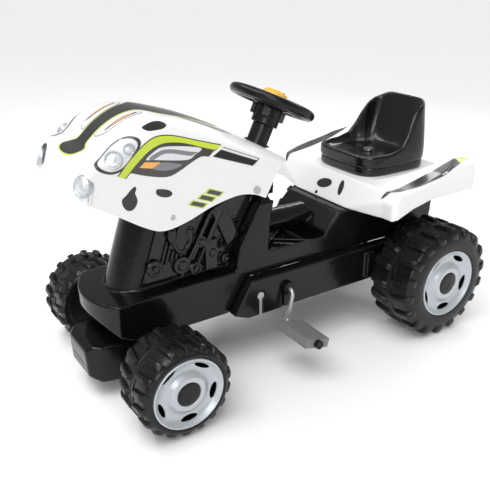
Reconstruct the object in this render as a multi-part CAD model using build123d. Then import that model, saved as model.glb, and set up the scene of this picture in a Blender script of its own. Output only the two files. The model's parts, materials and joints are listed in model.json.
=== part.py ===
from build123d import *
import os
from math import asin, cos, degrees, hypot, pi, radians, sin, sqrt, tan

# A pedal-driven ride-on toy tractor with a tipping bonnet.
# Axes: X is the driver's left, Y runs backwards, Z is up.  All sizes are in millimetres.
# The layout is drawn with the ground at Z = 0; the last lines centre it on its own outline.

# ---------------------------------------------------------------- driving dimensions
wheelbase = 547.0
rear_axle_y = 240.0
rear_tyre_radius = 106.4
rear_tyre_width = 100.0
rear_tyre_inner_x = 109.0
rear_cap_radius = 63.6
front_tyre_radius = 77.5
front_tyre_width = 90.0
front_tyre_inner_x = 122.0
front_cap_radius = 58.0
lug_count = 18
lug_height = 5.5
tyre_wall = 4.0
cap_slot_count = 5
axle_radius = 6.0

shell_wall = 3.0
tub_half_width = 78.0
tub_bottom_z = 104.0
ledge_z = 178.0
case_half_width = 97.0
case_bottom_z = 96.0
seam_z = 163.0
case_rear_foot = (300.0, 112.0)
case_rear_y = 312.0
pillar_radius = 50.0
pillar_lean = 18.7
dash_top_z = 350.0
trough_floor_z = 172.0
trough_wall_z = 201.0
beam_radius = 22.0
beam_z = 219.0
deck_z = 289.0
deck_front_y = 98.0
deck_crest_y = 130.0
deck_lip_z = 240.0
deck_nose_half_width = 68.0
deck_shoulder_y = 119.0
deck_rear_y = 335.0
fender_half_width = 175.0
deck_thickness = 3.0

hood_half_width = 100.0
hood_wall = 3.0
hood_open_angle = 28.0
hood_hinge_y = -115.0
hood_hinge_z = 324.0
hood_screw_radius = 3.0

wheel_centre_y = -16.0
wheel_centre_z = 434.5
column_lean = 25.8
steering_wheel_radius = 77.0
steering_rim_radius = 8.5
hub_radius = 23.6
hub_length = 40.0
column_radius = 18.5
bezel_radius = 22.6
bezel_drop = 73.0
shaft_radius = 6.0
steering_arm = 30.0
drag_link_z = 136.0
horn_radius = 21.0
horn_travel = 2.0

kingpin_radius = 6.0
carrier_bottom_z = 30.0
carrier_top_z = 96.0
carrier_half_width = 58.0
turntable_radius = 22.0
turntable_top_z = 121.0

chain_pitch = 8.0
crank_teeth = 24
axle_teeth = 12
span_links = 36
chain_x = 40.0
roller_radius = 1.8
crank_axis_z = 131.0
crank_rod_radius = 4.0
crank_throw = 58.0
crank_angle = 13.0
crank_bend_x = 114.0
pedal_inner_x = 125.0
pedal_width = 75.0
pedal_length = 49.0
pedal_thickness = 16.0
pedal_tilt = 15.0

seat_half_width = 80.0
seat_front_y = 143.0
seat_length = 168.0
seat_height = 125.0
seat_bolt_radius = 4.0
seat_bolt_y = 215.0
seat_travel = 15.0

hitch_y = 372.0
hitch_bore_radius = 6.0

running_fit = 0.05
seat_gap = 0.3
fixed_gap = 0.1

# ---------------------------------------------------------------- places worked out from them
front_axle_y = rear_axle_y - wheelbase
rear_axle_z = rear_tyre_radius
front_axle_z = front_tyre_radius


def pitch_radius(teeth):
    return chain_pitch / (2 * sin(pi / teeth))


crank_pitch_radius = pitch_radius(crank_teeth)
axle_pitch_radius = pitch_radius(axle_teeth)
chain_centres = sqrt((span_links * chain_pitch) ** 2 - (crank_pitch_radius - axle_pitch_radius) ** 2)
chain_slope = asin((crank_axis_z - rear_axle_z) / chain_centres)
crank_axis_y = rear_axle_y - chain_centres * cos(chain_slope)

lean = radians(column_lean)
column_direction = (0, sin(lean), cos(lean))
column_plane = Plane(
    origin=(0, wheel_centre_y, wheel_centre_z), x_dir=(1, 0, 0), z_dir=column_direction)
shaft_length = (wheel_centre_z - drag_link_z) / cos(lean)
shaft_foot_y = wheel_centre_y - shaft_length * sin(lean)
hood_hinge = Axis((0, hood_hinge_y, hood_hinge_z), (1, 0, 0))


# ---------------------------------------------------------------- shape helpers
def box(x0, x1, y0, y1, z0, z1):
    return Pos((x0 + x1) / 2, (y0 + y1) / 2, (z0 + z1) / 2) * Box(x1 - x0, y1 - y0, z1 - z0)


def rod_x(radius, x0, x1, y, z):
    return Pos((x0 + x1) / 2, y, z) * Rot(0, 90, 0) * Cylinder(radius, x1 - x0)


def rod_z(radius, z0, z1, x, y):
    return Pos(x, y, (z0 + z1) / 2) * Cylinder(radius, z1 - z0)


def ring_x(outer, inner, x0, x1, y, z):
    return rod_x(outer, x0, x1, y, z) - rod_x(inner, x0 - 1, x1 + 1, y, z)


def outline(points):
    return make_face(Polyline(*points, close=True))


def side_block(face, half_width):
    return extrude(Plane.YZ * face, half_width, both=True)


def front_block(face, reach=500):
    return extrude(Plane.XZ * face, reach, both=True)


def column_rod(radius, start, end):
    return column_plane * Pos(0, 0, (start + end) / 2) * Cylinder(radius, abs(end - start))


def mirrored(shape):
    return mirror(shape, about=Plane.YZ)


def offset_face(face, amount):
    return offset(face, amount, kind=Kind.INTERSECTION)


# ---------------------------------------------------------------- black chassis moulding
def tub_outline():
    axle = front_axle_y
    return outline([(axle - 75, 146), (axle - 45, 118), (axle - 15, tub_bottom_z), (-156, tub_bottom_z),
                    (-121, seam_z), (-60, seam_z), (-60, ledge_z), (axle + 84, ledge_z),
                    (axle - 45, 172), (axle - 75, 169)])


def tub_plan(inset):
    half = tub_half_width - inset
    corner = front_axle_y - 45
    front = ThreePointArc((half, corner), (0, corner - 28 + inset), (-half, corner))
    sides = Polyline((-half, corner), (-half, 0), (half, 0), (half, corner))
    return extrude(make_face([front, sides]), 600)


def pillar_solid(radius, front_inset):
    """Half-round pillar and engine core behind it, leaning back as they rise."""
    base = Pos(0, front_axle_y + 8 + front_inset, 0) * Circle(radius)
    base += Pos(0, front_axle_y + 8 + 140, 0) * Rectangle(2 * radius, 280)
    rise = dash_top_z - ledge_z + 60
    lean_run = rise * tan(radians(pillar_lean))
    direction = Vector(0, lean_run, rise)
    return Pos(0, 0, ledge_z - 30) * extrude(base, direction.length, dir=direction.normalized())


def core_outline():
    front = front_axle_y - 53
    return outline([(front, 165), (front, 325), (front + 68, 325), (-110, dash_top_z - 6), (-40, dash_top_z),
                    (-60, 303), (-70, 265), (-75, 165)])


def dash_outline():
    return outline([(-142, 165), (-133, 216), (-89, 295), (-84, dash_top_z - 4), (-39, dash_top_z),
                    (-60, 303), (-70, 265), (-74, trough_wall_z), (-60, 165)])


def trough_outline():
    return outline([(-90, seam_z), (-90, trough_wall_z), (62, trough_wall_z), (62, seam_z)])


def tower_slope():
    """Line of the tower's sloping front, just inside the deck's: its foot and its head."""
    shift = 2 * (deck_thickness + fixed_gap)
    foot = (deck_front_y + shift, deck_lip_z)
    head = (deck_crest_y + shift, deck_z - 2 - deck_thickness - fixed_gap)
    return foot, head


def tower_outline():
    """Seat tower as wide as the tub: up to the deck's lip, and to the deck's underside behind it."""
    under_deck = deck_z - deck_thickness - fixed_gap
    lip = deck_lip_z - fixed_gap
    behind = deck_shoulder_y + deck_thickness + 1
    foot, head = tower_slope()
    meet = foot[1] + (behind - foot[0]) * (head[1] - foot[1]) / (head[0] - foot[0])
    return outline([(49, seam_z), (49, 206), (83, lip), (behind, lip), (behind, meet), head, (160, under_deck),
                    (deck_rear_y - 12, under_deck), (deck_rear_y - 8, deck_z - 27), (318, seam_z)])


def tower_nose_outline():
    """Narrow part of the tower that fills the deck's sloping front."""
    foot, head = tower_slope()
    return outline([(foot[0], foot[1] - 4), foot, head, (head[0] + 12, head[1]), (head[0] + 12, foot[1] - 4)])


def dash_section():
    """The dash narrows above the ledge so that it stands inside the tipped bonnet."""
    half = tub_half_width
    right = [(half, 100), (half, 288), (60, 322), (57, 400)]
    return outline(right + [(-x, z) for x, z in reversed(right)])


def chassis_frame():
    wall = shell_wall
    half = tub_half_width
    open_below = box(-half + wall, half - wall, front_axle_y - 93, 330, 60, seam_z - 10)
    tub = side_block(tub_outline(), half + 20) & tub_plan(0)
    tub_space = side_block(offset_face(tub_outline(), -wall), half + 20) & tub_plan(wall)
    front = front_axle_y - 42
    tub_space += side_block(outline([(front, 60), (front, 150), (-120, 150), (-120, 60)]), half) & tub_plan(wall)
    core = side_block(core_outline(), pillar_radius) & pillar_solid(pillar_radius, 0)
    core_space = side_block(offset_face(core_outline(), -wall), pillar_radius - wall)
    core_space &= pillar_solid(pillar_radius - wall, 0)
    dash = side_block(dash_outline(), half) & front_block(dash_section())
    dash_space = side_block(offset_face(dash_outline(), -wall), half - wall)
    dash_space &= front_block(offset_face(dash_section(), -wall))
    trough = side_block(trough_outline(), half)
    trough_space = box(-half + wall, half - wall, -100, 80, 100, trough_floor_z - wall)
    foot_space = box(-half + wall, half - wall, -72, 49, trough_floor_z, 300)
    nose_half = deck_nose_half_width - deck_thickness - fixed_gap
    tower = side_block(tower_outline(), half) + side_block(tower_nose_outline(), nose_half)
    tower_space = side_block(offset_face(tower_outline(), -wall), half - wall)
    tower_space += side_block(offset_face(tower_nose_outline(), -wall), nose_half - wall)
    tower_space += box(-half + wall, half - wall, 52, 315, 100, seam_z + 10)
    frame = tub + dash + trough + tower + core
    frame -= tub_space + core_space + dash_space + trough_space + tower_space
    frame -= foot_space & box(-half, half, -71.9, 48.9, trough_floor_z, 300)
    frame -= box(-half + wall, half - wall, -118, -60, 100, seam_z + 3)
    frame -= open_below & box(-half, half, -116, 330, 60, seam_z)
    beam = Pos(0, -12, beam_z) * Rot(90, 0, 0) * Cylinder(beam_radius, 142)
    beam &= box(-40, 40, -76, 62, 180, 260)
    beam_hollow = Pos(0, -12, beam_z) * Rot(90, 0, 0) * Cylinder(beam_radius - wall, 150)
    frame += beam - beam_hollow
    for turn in (-1, 1):
        rib = Pos(0, -12, trough_floor_z + 5) * Rot(0, 0, turn * 52) * Box(150, 4, 12)
        frame += rib & box(-half + 1, half - 1, -73, 50, trough_floor_z - 1, trough_floor_z + 11)
    boss = rod_x(9, pillar_radius - wall, hood_half_width - hood_wall - seat_gap, hood_hinge_y, hood_hinge_z)
    frame += boss + mirrored(boss)
    screw_hole = rod_x(hood_screw_radius + fixed_gap, 20, 120, hood_hinge_y, hood_hinge_z)
    frame -= screw_hole + mirrored(screw_hole)
    nut_room = seat_travel + 14
    frame -= box(-24, 24, seat_bolt_y - nut_room, seat_bolt_y + nut_room, deck_z - 12, deck_z)
    frame -= column_rod(column_radius + fixed_gap, -60, -140)
    frame -= rod_z(kingpin_radius + fixed_gap, 150, 185, 0, front_axle_y)
    return frame


def case_outline():
    return outline([(-120, seam_z), (-155, 105), (-128, case_bottom_z - 2), (150, case_bottom_z),
                    case_rear_foot, (case_rear_y, seam_z)])


def chain_case():
    wall = shell_wall
    half = case_half_width
    case = side_block(case_outline(), half)
    case -= side_block(offset_face(case_outline(), -wall), half - wall)
    case -= box(-half + wall, half - wall, -128, 290, 60, 120) & side_block(
        outline([(-146, 60), (-146, 110), (-142, 122), (296, 122), (294, 60)]), half - wall)
    case -= box(-tub_half_width + wall, tub_half_width - wall, -112, 304, 150, 170)
    gusset = box(case_half_width - 1, case_half_width + 9, 134, 152, 104, 152)
    case += gusset + mirrored(gusset)
    notch = rod_x(9, 60, 120, crank_axis_y, crank_axis_z)
    notch += box(60, 120, crank_axis_y - 7, crank_axis_y + 7, 80, crank_axis_z)
    spare = rod_x(6.5, 60, 120, crank_axis_y - 55, crank_axis_z - 1)
    spare += box(60, 120, crank_axis_y - 57.5, crank_axis_y - 52.5, 80, crank_axis_z)
    axle_hole = rod_x(11 + fixed_gap, 60, 120, rear_axle_y, rear_axle_z)
    axle_land = rod_x(19, half - wall - 2, half + 4, rear_axle_y, rear_axle_z)
    case += axle_land + mirrored(axle_land)
    for cut in (notch, spare, axle_hole):
        case -= cut + mirrored(cut)
    return case


def engine_outline():
    return outline([(-300, 187), (-148, 187), (-134, 216), (-97, 287), (-108, 311), (-262, 302)])


def engine_panel():
    """Side panel that imitates an engine: head covers, pipes, ribs and bolt heads in relief."""
    x0 = pillar_radius + fixed_gap
    plate = Pos(x0, 0, 0) * extrude(Plane.YZ * engine_outline(), 4)
    face = x0 + 4
    for y, z, turn, long, high in ((-150, 262, 24, 74, 26), (-228, 262, -32, 62, 26), (-178, 210, 0, 60, 22)):
        plate += Pos(face + 4, y, z) * Rot(turn, 0, 0) * Box(9, high, long)
    for y, z, radius in ((-232, 207, 15), (-176, 217, 12), (-196, 240, 10), (-150, 200, 8)):
        plate += rod_x(radius, face - 1, face + 8, y, z)
        plate += rod_x(radius / 2, face - 1, face + 11, y, z)
    for step in range(5):
        plate += Pos(face + 2, -262 + 9 * step, 232 + 3 * step) * Rot(-18, 0, 0) * Box(6, 4, 44)
    brace = Pos(face + 5, -205, 236) * Rot(-30, 0, 0) * Cylinder(3.5, 118)
    plate += brace
    return plate & side_block(engine_outline(), face + 20)


# ---------------------------------------------------------------- bonnet
def hood_side(inset):
    """Closed bonnet seen from the side; inset grows the space inside it."""
    drop = 120 if inset else 0
    points = [(-384 + inset, 219 - drop), (-394 + inset, 262), (-374 + inset, 284), (-361 + inset, 321),
              (-340 + inset * 0.8, 351 - inset * 0.8), (-312 + inset * 0.4, 370 - inset), (-261, 383 - inset),
              (-205, 392 - inset), (-113, 395 - inset), (-28 + 3 * inset, 391 - inset), (-28 + 3 * inset, 300)]
    lower = [(-86, 316 - drop), (-142, 306 - drop), (-185, 272 - drop), (-244, 217 - drop), (-325, 217 - drop)]
    return outline(points + lower)


def hood_section(inset):
    half = hood_half_width - inset
    top = 398 - inset
    right = [(half, 50), (half, 336), (half - 5, 354), (half - 16, 372), (half - 34, top - 12), (44, top - 4),
             (20, top)]
    return outline(right + [(-x, z) for x, z in reversed(right)])


def hood_plan(inset):
    half = hood_half_width - inset + 1
    front = -396 + inset
    nose = [(half, -90 + 3 * inset), (half, -352), (half - 5, -376 + inset), (half - 22, front + 6),
            (half - 50, front + 1), (0, front)]
    left = [(-x, y) for x, y in reversed(nose[:-1])]
    rear = ThreePointArc((-half, -90 + 3 * inset), (0, -28 + 3 * inset), (half, -90 + 3 * inset))
    return extrude(make_face([Polyline(*(nose + left)), rear]), 600)


def hood_shell():
    outer = side_block(hood_side(0), hood_half_width + 5) & front_block(hood_section(0)) & hood_plan(0)
    inner = side_block(hood_side(hood_wall), hood_half_width + 5)
    inner = inner & front_block(hood_section(hood_wall)) & hood_plan(hood_wall)
    shell = outer - inner
    slot = bezel_radius + 1.5
    slot_front = -83.0
    shell -= box(-slot, slot, slot_front, 0, 340, 420) + rod_z(slot, 340, 420, 0, slot_front)
    hole = rod_x(hood_screw_radius + running_fit, 80, 120, hood_hinge_y, hood_hinge_z)
    shell -= hole + mirrored(hole)
    for name in hood_lamp_places:
        seat = hood_lamp(name, fixed_gap)
        shell -= seat + mirrored(seat)
    return shell


# Each lamp: centre on the closed bonnet's corner, radius, and compass turn of its axis from straight ahead.
hood_lamp_places = {
    "corner_lamp": ((88, -384, 240), 11.0, 35),
    "headlight_large": ((93, -360, 289), 10.0, 58),
    "headlight_small": ((93, -344, 310), 7.0, 62),
}


def hood_lamp(name, clearance=0.0):
    place, radius, turn = hood_lamp_places[name]
    lens = Rot(90, 0, 0) * Cylinder(radius + clearance, 16 + 20 * clearance)
    return Pos(*place) * Rot(0, 0, turn) * lens


def opened(shape):
    """Swings a bonnet piece from its closed place to the open place it is shown in."""
    return shape.rotate(hood_hinge, -hood_open_angle)


def hood_screw():
    reach = hood_half_width + seat_gap
    shank = rod_x(hood_screw_radius, reach - 30, reach, hood_hinge_y, hood_hinge_z)
    head = rod_x(6, reach, reach + 3, hood_hinge_y, hood_hinge_z)
    slot = Pos(reach + 3, hood_hinge_y, hood_hinge_z) * Rot(40, 0, 0) * Box(2, 1.6, 8)
    return shank + head - slot


# ---------------------------------------------------------------- steering
def steering_wheel():
    sweep_radius = steering_wheel_radius - steering_rim_radius
    rim = column_plane * Torus(sweep_radius, steering_rim_radius)
    wheel = rim + column_rod(30, -9, 5)
    for turn in (90, 210, 330):
        spoke = column_plane * Rot(0, 0, turn) * Pos(sweep_radius / 2, 0, -2) * Box(sweep_radius, 20, 8)
        wheel += spoke
    wheel -= column_rod(horn_radius + seat_gap, -3, 20)
    wheel -= column_rod(shaft_radius + fixed_gap, -20, 20)
    return wheel


def wheel_hub():
    hub = column_rod(hub_radius, -9 - fixed_gap, -hub_length)
    for turn in (45, 135, 225, 315):
        clip = column_plane * Rot(0, 0, turn) * Pos(hub_radius + 1, 0, -19) * Box(10, 14, 18)
        hub += clip
    return hub - column_rod(shaft_radius + fixed_gap, 0, -hub_length - 5)


def steering_shaft():
    foot = shaft_length + 5
    shaft = column_rod(shaft_radius, -4, -foot)
    shaft += column_rod(12, -shaft_length + 2, -shaft_length + 8)
    arm = column_plane * Pos(-steering_arm / 2, 0, -shaft_length + 5) * Box(steering_arm, 12, 6)
    shaft += arm
    tip = column_plane * Pos(-steering_arm, 0, -shaft_length + 5)
    shaft += tip * Cylinder(8, 6)
    shaft += column_plane * Pos(-steering_arm, 0, -shaft_length - 3) * Cylinder(3, 12)
    return shaft


def drag_link_ends():
    arm_tip = column_plane * Pos(-steering_arm, 0, -shaft_length - 3)
    return arm_tip, Pos(-steering_arm, front_axle_y, drag_link_z)


def drag_link():
    """Rod from the steering arm to the carrier's pin; its front eye is loose to take up the tilt."""
    rear, front = drag_link_ends()
    start = rear.position
    rear_eye = rear * Cylinder(7, 5)
    front_eye = front * Cylinder(9, 5)
    run = hypot(start.Y - front_axle_y, start.Z - drag_link_z)
    middle = (start + front.position) / 2
    tilt = degrees(asin((start.Z - drag_link_z) / run))
    bar = Pos(middle.X, middle.Y, middle.Z) * Rot(90 + tilt, 0, 0) * Cylinder(2.5, run - 8)
    link = rear_eye + front_eye + bar
    link -= rear * Cylinder(3 + running_fit, 20)
    link -= front * Cylinder(5.2, 20)
    return link


def column_tube():
    tube = column_rod(column_radius, -hub_length - seat_gap, -132)
    tube -= column_rod(12, -hub_length - 14, -140)
    tube -= column_rod(shaft_radius + running_fit, -20, -140)
    return tube


def column_bezel():
    return column_rod(bezel_radius, -bezel_drop + 2, -bezel_drop - 2) - column_rod(column_radius + fixed_gap, -60, -90)


def shaft_bearing():
    """Cross plate in the tub that holds the foot of the steering shaft."""
    reach = -shaft_length + 26
    half = tub_half_width - shell_wall - fixed_gap
    plate = column_plane * Pos(0, 0, reach) * Box(2 * half, 30, 5)
    plate += column_rod(13, reach - 6, reach + 6)
    return plate - column_rod(shaft_radius + running_fit, reach - 20, reach + 20)


def horn_button():
    return column_rod(horn_radius, horn_travel, 10) + column_rod(horn_radius - 5, 10, 13)


# ---------------------------------------------------------------- front axle
def axle_carrier():
    y = front_axle_y
    body = side_block(outline([(y - 88, 40), (y - 91, 88), (y - 80, carrier_top_z), (y + 30, carrier_top_z),
                               (y + 36, 60), (y + 10, carrier_bottom_z), (y - 70, carrier_bottom_z)]),
                      carrier_half_width)
    plan = outline([(-32, y - 95), (32, y - 95), (50, y - 72), (carrier_half_width, y - 36),
                    (carrier_half_width, y + 40), (-carrier_half_width, y + 40), (-carrier_half_width, y - 36),
                    (-50, y - 72)])
    body &= extrude(plan, 200)
    wall = 4.0
    space = side_block(outline([(y - 84, 20), (y - 84, carrier_top_z - 14), (y + 26, carrier_top_z - 14),
                                (y + 26, 20)]), carrier_half_width - wall)
    space &= extrude(offset_face(plan, -wall), 200)
    body -= space
    body -= box(-26, 26, y - 100, y - 88, 60, 66)
    for side in (-1, 1):
        body += rod_x(14, *sorted((side * (carrier_half_width - wall), side * (front_tyre_inner_x - 1.5))),
                      y, front_axle_z)
        body += box(*sorted((side * 6, side * 9)), y - 86, y + 28, carrier_bottom_z + 8, carrier_top_z - 13)
    body += rod_z(turntable_radius, carrier_top_z - 16, turntable_top_z, 0, y)
    body += box(-steering_arm - 8, 0, y - 8, y + 8, turntable_top_z - 6, turntable_top_z)
    body -= rod_x(axle_radius + fixed_gap, -130, 130, y, front_axle_z)
    body -= rod_z(kingpin_radius + running_fit, front_axle_z + 10, 140, 0, y)
    body -= rod_z(4, turntable_top_z - 8, turntable_top_z + 5, -steering_arm, y)
    return body


def link_pin():
    stem = rod_z(4 - fixed_gap, turntable_top_z - 6, turntable_top_z + 1, -steering_arm, front_axle_y)
    stem += rod_z(3.2, turntable_top_z, drag_link_z + 14, -steering_arm, front_axle_y)
    return stem


def kingpin():
    pin = rod_z(kingpin_radius, front_axle_z + 14, ledge_z + 1, 0, front_axle_y)
    return pin + rod_z(11, ledge_z - 4.2, ledge_z - 4.2 + 3, 0, front_axle_y)


def kingpin_block():
    """Cross member in the tub that carries the kingpin."""
    half = tub_half_width - shell_wall - fixed_gap
    block = box(-half, half, front_axle_y - 14, front_axle_y + 14, 151, 166)
    return block - rod_z(kingpin_radius + fixed_gap, 140, 180, 0, front_axle_y)


# ---------------------------------------------------------------- wheels
def tyre(radius, width, cap_radius):
    """Hollow moulded wheel, inner face at X = 0: web, hub, side walls and lugged tread."""
    base = radius - lug_height
    wall = tyre_wall
    hub = 18.0
    boss_end = width - 30
    bore = axle_radius + running_fit
    round_off = 0.45 * (base - cap_radius - wall)
    section = [(0, bore), (0, hub), (12, hub), (12, cap_radius - 10), (0, cap_radius + 3), (0, base - round_off),
               (round_off / 2, base - round_off / 5), (round_off, base), (width - round_off, base),
               (width - round_off / 2, base - round_off / 5), (width, base - round_off),
               (width, cap_radius + 3), (width - 4, cap_radius + 0.2), (width - 12, cap_radius + 0.2),
               (width - 12, cap_radius - 4), (width - 15, cap_radius - 4), (width - 15, cap_radius + 4),
               (width - wall, cap_radius + 8), (width - wall, base - round_off - 1),
               (width - round_off - wall, base - wall), (round_off + wall, base - wall),
               (wall, base - round_off - 1), (wall, cap_radius + 5), (12 + wall, cap_radius - 8),
               (12 + wall, hub + 1), (boss_end, hub - 4), (boss_end, bore)]
    body = revolve(Plane.XZ * outline(section), Axis.X)
    lugs = []
    length = width / 2 - 7
    for side in (0, 1):
        centre = 3 + length / 2 if side == 0 else width - 3 - length / 2
        for i in range(lug_count):
            angle = (i + side / 2) * 360 / lug_count
            lug = Pos(centre, 0, base - 1) * Box(length, 360 / lug_count * pi / 180 * base * 0.52, 2 * lug_height + 2)
            lugs.append(Rot(angle, 0, 0) * lug)
    envelope = rod_x(radius, 0, width, 0, 0) - rod_x(base - 2, -1, width + 1, 0, 0)
    edge = revolve(Plane.XZ * outline([(-1, 0), (-1, base - 18), (12, radius), (width - 12, radius),
                                       (width + 1, base - 18), (width + 1, 0)]), Axis.X)
    tread = Compound(lugs) & (envelope & edge)
    return body + tread


def hub_cap(width, cap_radius):
    """Dished cap with oval slots and a raised rim, pressed into the outer side of the wheel."""
    x = width - 12
    section = [(x + 0.1, 20), (x + 0.1, cap_radius), (width + 1, cap_radius), (width + 1, cap_radius - 5),
               (width - 5, cap_radius - 8), (width - 3, 24), (width - 3, 20)]
    cap = revolve(Plane.XZ * outline(section), Axis.X)
    middle = (cap_radius - 8 + 24) / 2
    for i in range(cap_slot_count):
        slot = Rot(i * 360 / cap_slot_count + 12, 0, 0) * Pos(width - 6, 0, middle) * Rot(0, 90, 0) * extrude(
            SlotOverall(26, 9, rotation=90), 30, both=True)
        cap -= slot
    return cap


def centre_cap(width):
    """Domed plug in the middle of the hub cap, covering the end of the axle."""
    edge = 19.8
    rise = 6.0
    base = width - 6
    crown = width + 4
    dome_radius = (edge ** 2 + rise ** 2) / (2 * rise)
    plug = rod_x(edge, base, crown, 0, 0) & Pos(crown - dome_radius, 0, 0) * Sphere(dome_radius)
    return plug - rod_x(axle_radius + 1, base - 1, width - 3, 0, 0)


def push_nut(width):
    return ring_x(10, axle_radius, width - 29.5, width - 27, 0, 0)


def on_axle(shape, inner_x, y, z, side):
    placed = Pos(inner_x, y, z) * shape
    return placed if side > 0 else mirrored(placed)


# ---------------------------------------------------------------- pedals, crank and chain drive
def sprocket(teeth, pitch_r, thick, bore, x, y, z):
    """The chain is rigid here, so the teeth end just short of its rollers and turn clear inside them."""
    edge = pitch_r - roller_radius - seat_gap
    disc = rod_x(edge, x - thick / 2, x + thick / 2, y, z)
    disc += rod_x(bore + 6, x - 7, x + 7, y, z)
    cuts = []
    for i in range(teeth):
        seat = Pos(0, 0, edge) * Rot(0, 90, 0) * Cylinder(roller_radius, thick + 2)
        cuts.append(Pos(x, y, z) * Rot(-degrees(chain_slope) + i * 360 / teeth, 0, 0) * seat)
    return disc - cuts - rod_x(bore, x - 20, x + 20, y, z)


def chain_pins():
    """Pin places in the chain's own plane: u runs from the crank to the axle, v is above that line."""
    pins = []
    crank_step = 2 * pi / crank_teeth
    for i in range(crank_teeth // 2 + 1):
        angle = -pi / 2 - i * crank_step
        pins.append((crank_pitch_radius * cos(angle), crank_pitch_radius * sin(angle)))
    start = pins[-1]
    end = (chain_centres, axle_pitch_radius)
    for i in range(1, span_links):
        part = i / span_links
        pins.append((start[0] + (end[0] - start[0]) * part, start[1] + (end[1] - start[1]) * part))
    for i in range(axle_teeth // 2 + 1):
        angle = pi / 2 - i * 2 * pi / axle_teeth
        pins.append((chain_centres + axle_pitch_radius * cos(angle), axle_pitch_radius * sin(angle)))
    start = pins[-1]
    end = pins[0]
    for i in range(1, span_links):
        part = i / span_links
        pins.append((start[0] + (end[0] - start[0]) * part, start[1] + (end[1] - start[1]) * part))
    return pins


def chain_place(u, v):
    y = crank_axis_y + u * cos(chain_slope) + v * sin(chain_slope)
    z = crank_axis_z - u * sin(chain_slope) + v * cos(chain_slope)
    return y, z


def drive_chain():
    """Roller chain: a roller and its pin at each joint, with inner and outer plates in turn."""
    places = [chain_place(u, v) for u, v in chain_pins()]
    solids = []
    for i, (y, z) in enumerate(places):
        next_y, next_z = places[(i + 1) % len(places)]
        solids.append(rod_x(roller_radius, chain_x - 2.3, chain_x + 2.3, y, z))
        turn = degrees(asin(max(-1, min(1, (next_z - z) / hypot(next_y - y, next_z - z)))))
        turn = turn if next_y > y else 180 - turn
        offset_x = 2.9 if i % 2 else 4.1
        link = SlotCenterToCenter(hypot(next_y - y, next_z - z), 5.2)
        for side in (-1, 1):
            plate = Plane.YZ * Rot(0, 0, turn) * extrude(link, 0.5, both=True)
            solids.append(Pos(chain_x + side * offset_x, (y + next_y) / 2, (z + next_z) / 2) * plate)
    return Compound(solids)


def crank_rod():
    swing = radians(crank_angle)
    end = pedal_inner_x + pedal_width + 5
    y_low = crank_axis_y - crank_throw * sin(swing)
    z_low = crank_axis_z - crank_throw * cos(swing)
    y_high = 2 * crank_axis_y - y_low
    z_high = 2 * crank_axis_z - z_low
    path = FilletPolyline(
        (end, y_low, z_low), (crank_bend_x, y_low, z_low), (crank_bend_x, crank_axis_y, crank_axis_z),
        (-crank_bend_x, crank_axis_y, crank_axis_z), (-crank_bend_x, y_high, z_high), (-end, y_high, z_high),
        radius=9)
    profile = Plane(origin=(end, y_low, z_low), z_dir=(-1, 0, 0)) * Circle(crank_rod_radius)
    return sweep(profile, path=path)


def pedal(side):
    swing = radians(crank_angle)
    y = crank_axis_y - side * crank_throw * sin(swing)
    z = crank_axis_z - side * crank_throw * cos(swing)
    block = Box(pedal_width, pedal_length, pedal_thickness)
    for i in range(7):
        for j in range(4):
            place = Pos((i - 3) * 10, (j - 1.5) * 11, pedal_thickness / 2)
            block += place * Box(5, 6, 2)
            block += Pos((i - 3) * 10, (j - 1.5) * 11, -pedal_thickness / 2) * Box(5, 6, 2)
    block -= Rot(0, 90, 0) * Cylinder(crank_rod_radius + running_fit, pedal_width + 2)
    centre = pedal_inner_x + pedal_width / 2
    return Pos(side * centre, y, z) * Rot(-pedal_tilt, 0, 0) * block


def pedal_cap(side):
    swing = radians(crank_angle)
    y = crank_axis_y - side * crank_throw * sin(swing)
    z = crank_axis_z - side * crank_throw * cos(swing)
    x = pedal_inner_x + pedal_width + seat_gap
    cap = rod_x(7.5, x, x + 7, y, z) - rod_x(crank_rod_radius, x - 1, x + 4.8, y, z)
    return cap if side > 0 else mirrored(cap)


def crank_clip():
    x0 = case_half_width - shell_wall - 2
    clip = rod_x(8.8, x0, case_half_width, crank_axis_y, crank_axis_z)
    clip += rod_x(12, case_half_width + fixed_gap, case_half_width + 8, crank_axis_y, crank_axis_z)
    clip += rod_x(8.8, case_half_width - 1, case_half_width + 1, crank_axis_y, crank_axis_z)
    clip += box(x0, case_half_width + 1, crank_axis_y - 6.8, crank_axis_y + 6.8, case_bottom_z + 3, crank_axis_z)
    clip += box(case_half_width + fixed_gap, case_half_width + 4, crank_axis_y - 9, crank_axis_y + 9,
                case_bottom_z + 3, crank_axis_z)
    return clip - rod_x(crank_rod_radius + running_fit, x0 - 5, case_half_width + 12, crank_axis_y, crank_axis_z)


def axle_bush():
    x1 = rear_tyre_inner_x - 1.0
    bush = rod_x(11, case_half_width - 10, x1 - 3, rear_axle_y, rear_axle_z)
    bush += rod_x(16, case_half_width + 4 + fixed_gap, x1, rear_axle_y, rear_axle_z)
    return bush - rod_x(axle_radius + running_fit, 60, 130, rear_axle_y, rear_axle_z)


# ---------------------------------------------------------------- white rear deck
def deck_side():
    z = deck_z
    return outline([(deck_front_y, deck_lip_z), (deck_crest_y, z - 2), (152, z), (190, z + 6), (240, z + 17),
                    (292, z + 34), (322, z + 29), (338, z - 23), (212, z - 23), (165, z - 33), (122, deck_lip_z)])


def deck_section():
    half = fender_half_width
    z = deck_z
    right = [(half, 150), (half, z + 1), (half - 10, z + 23), (half - 30, z + 35), (106, z + 8), (86, z)]
    return outline(right + [(-x, z) for x, z in reversed(right)])


def deck_plan():
    rear = deck_rear_y + 4
    right = [(deck_nose_half_width, deck_front_y), (78, deck_shoulder_y - 3),
             (fender_half_width - 6, deck_shoulder_y), (fender_half_width, deck_shoulder_y + 9),
             (fender_half_width, 318), (fender_half_width - 16, rear), (90, rear), (78, 330)]
    return outline(right + [(-x, y) for x, y in reversed(right)])


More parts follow.
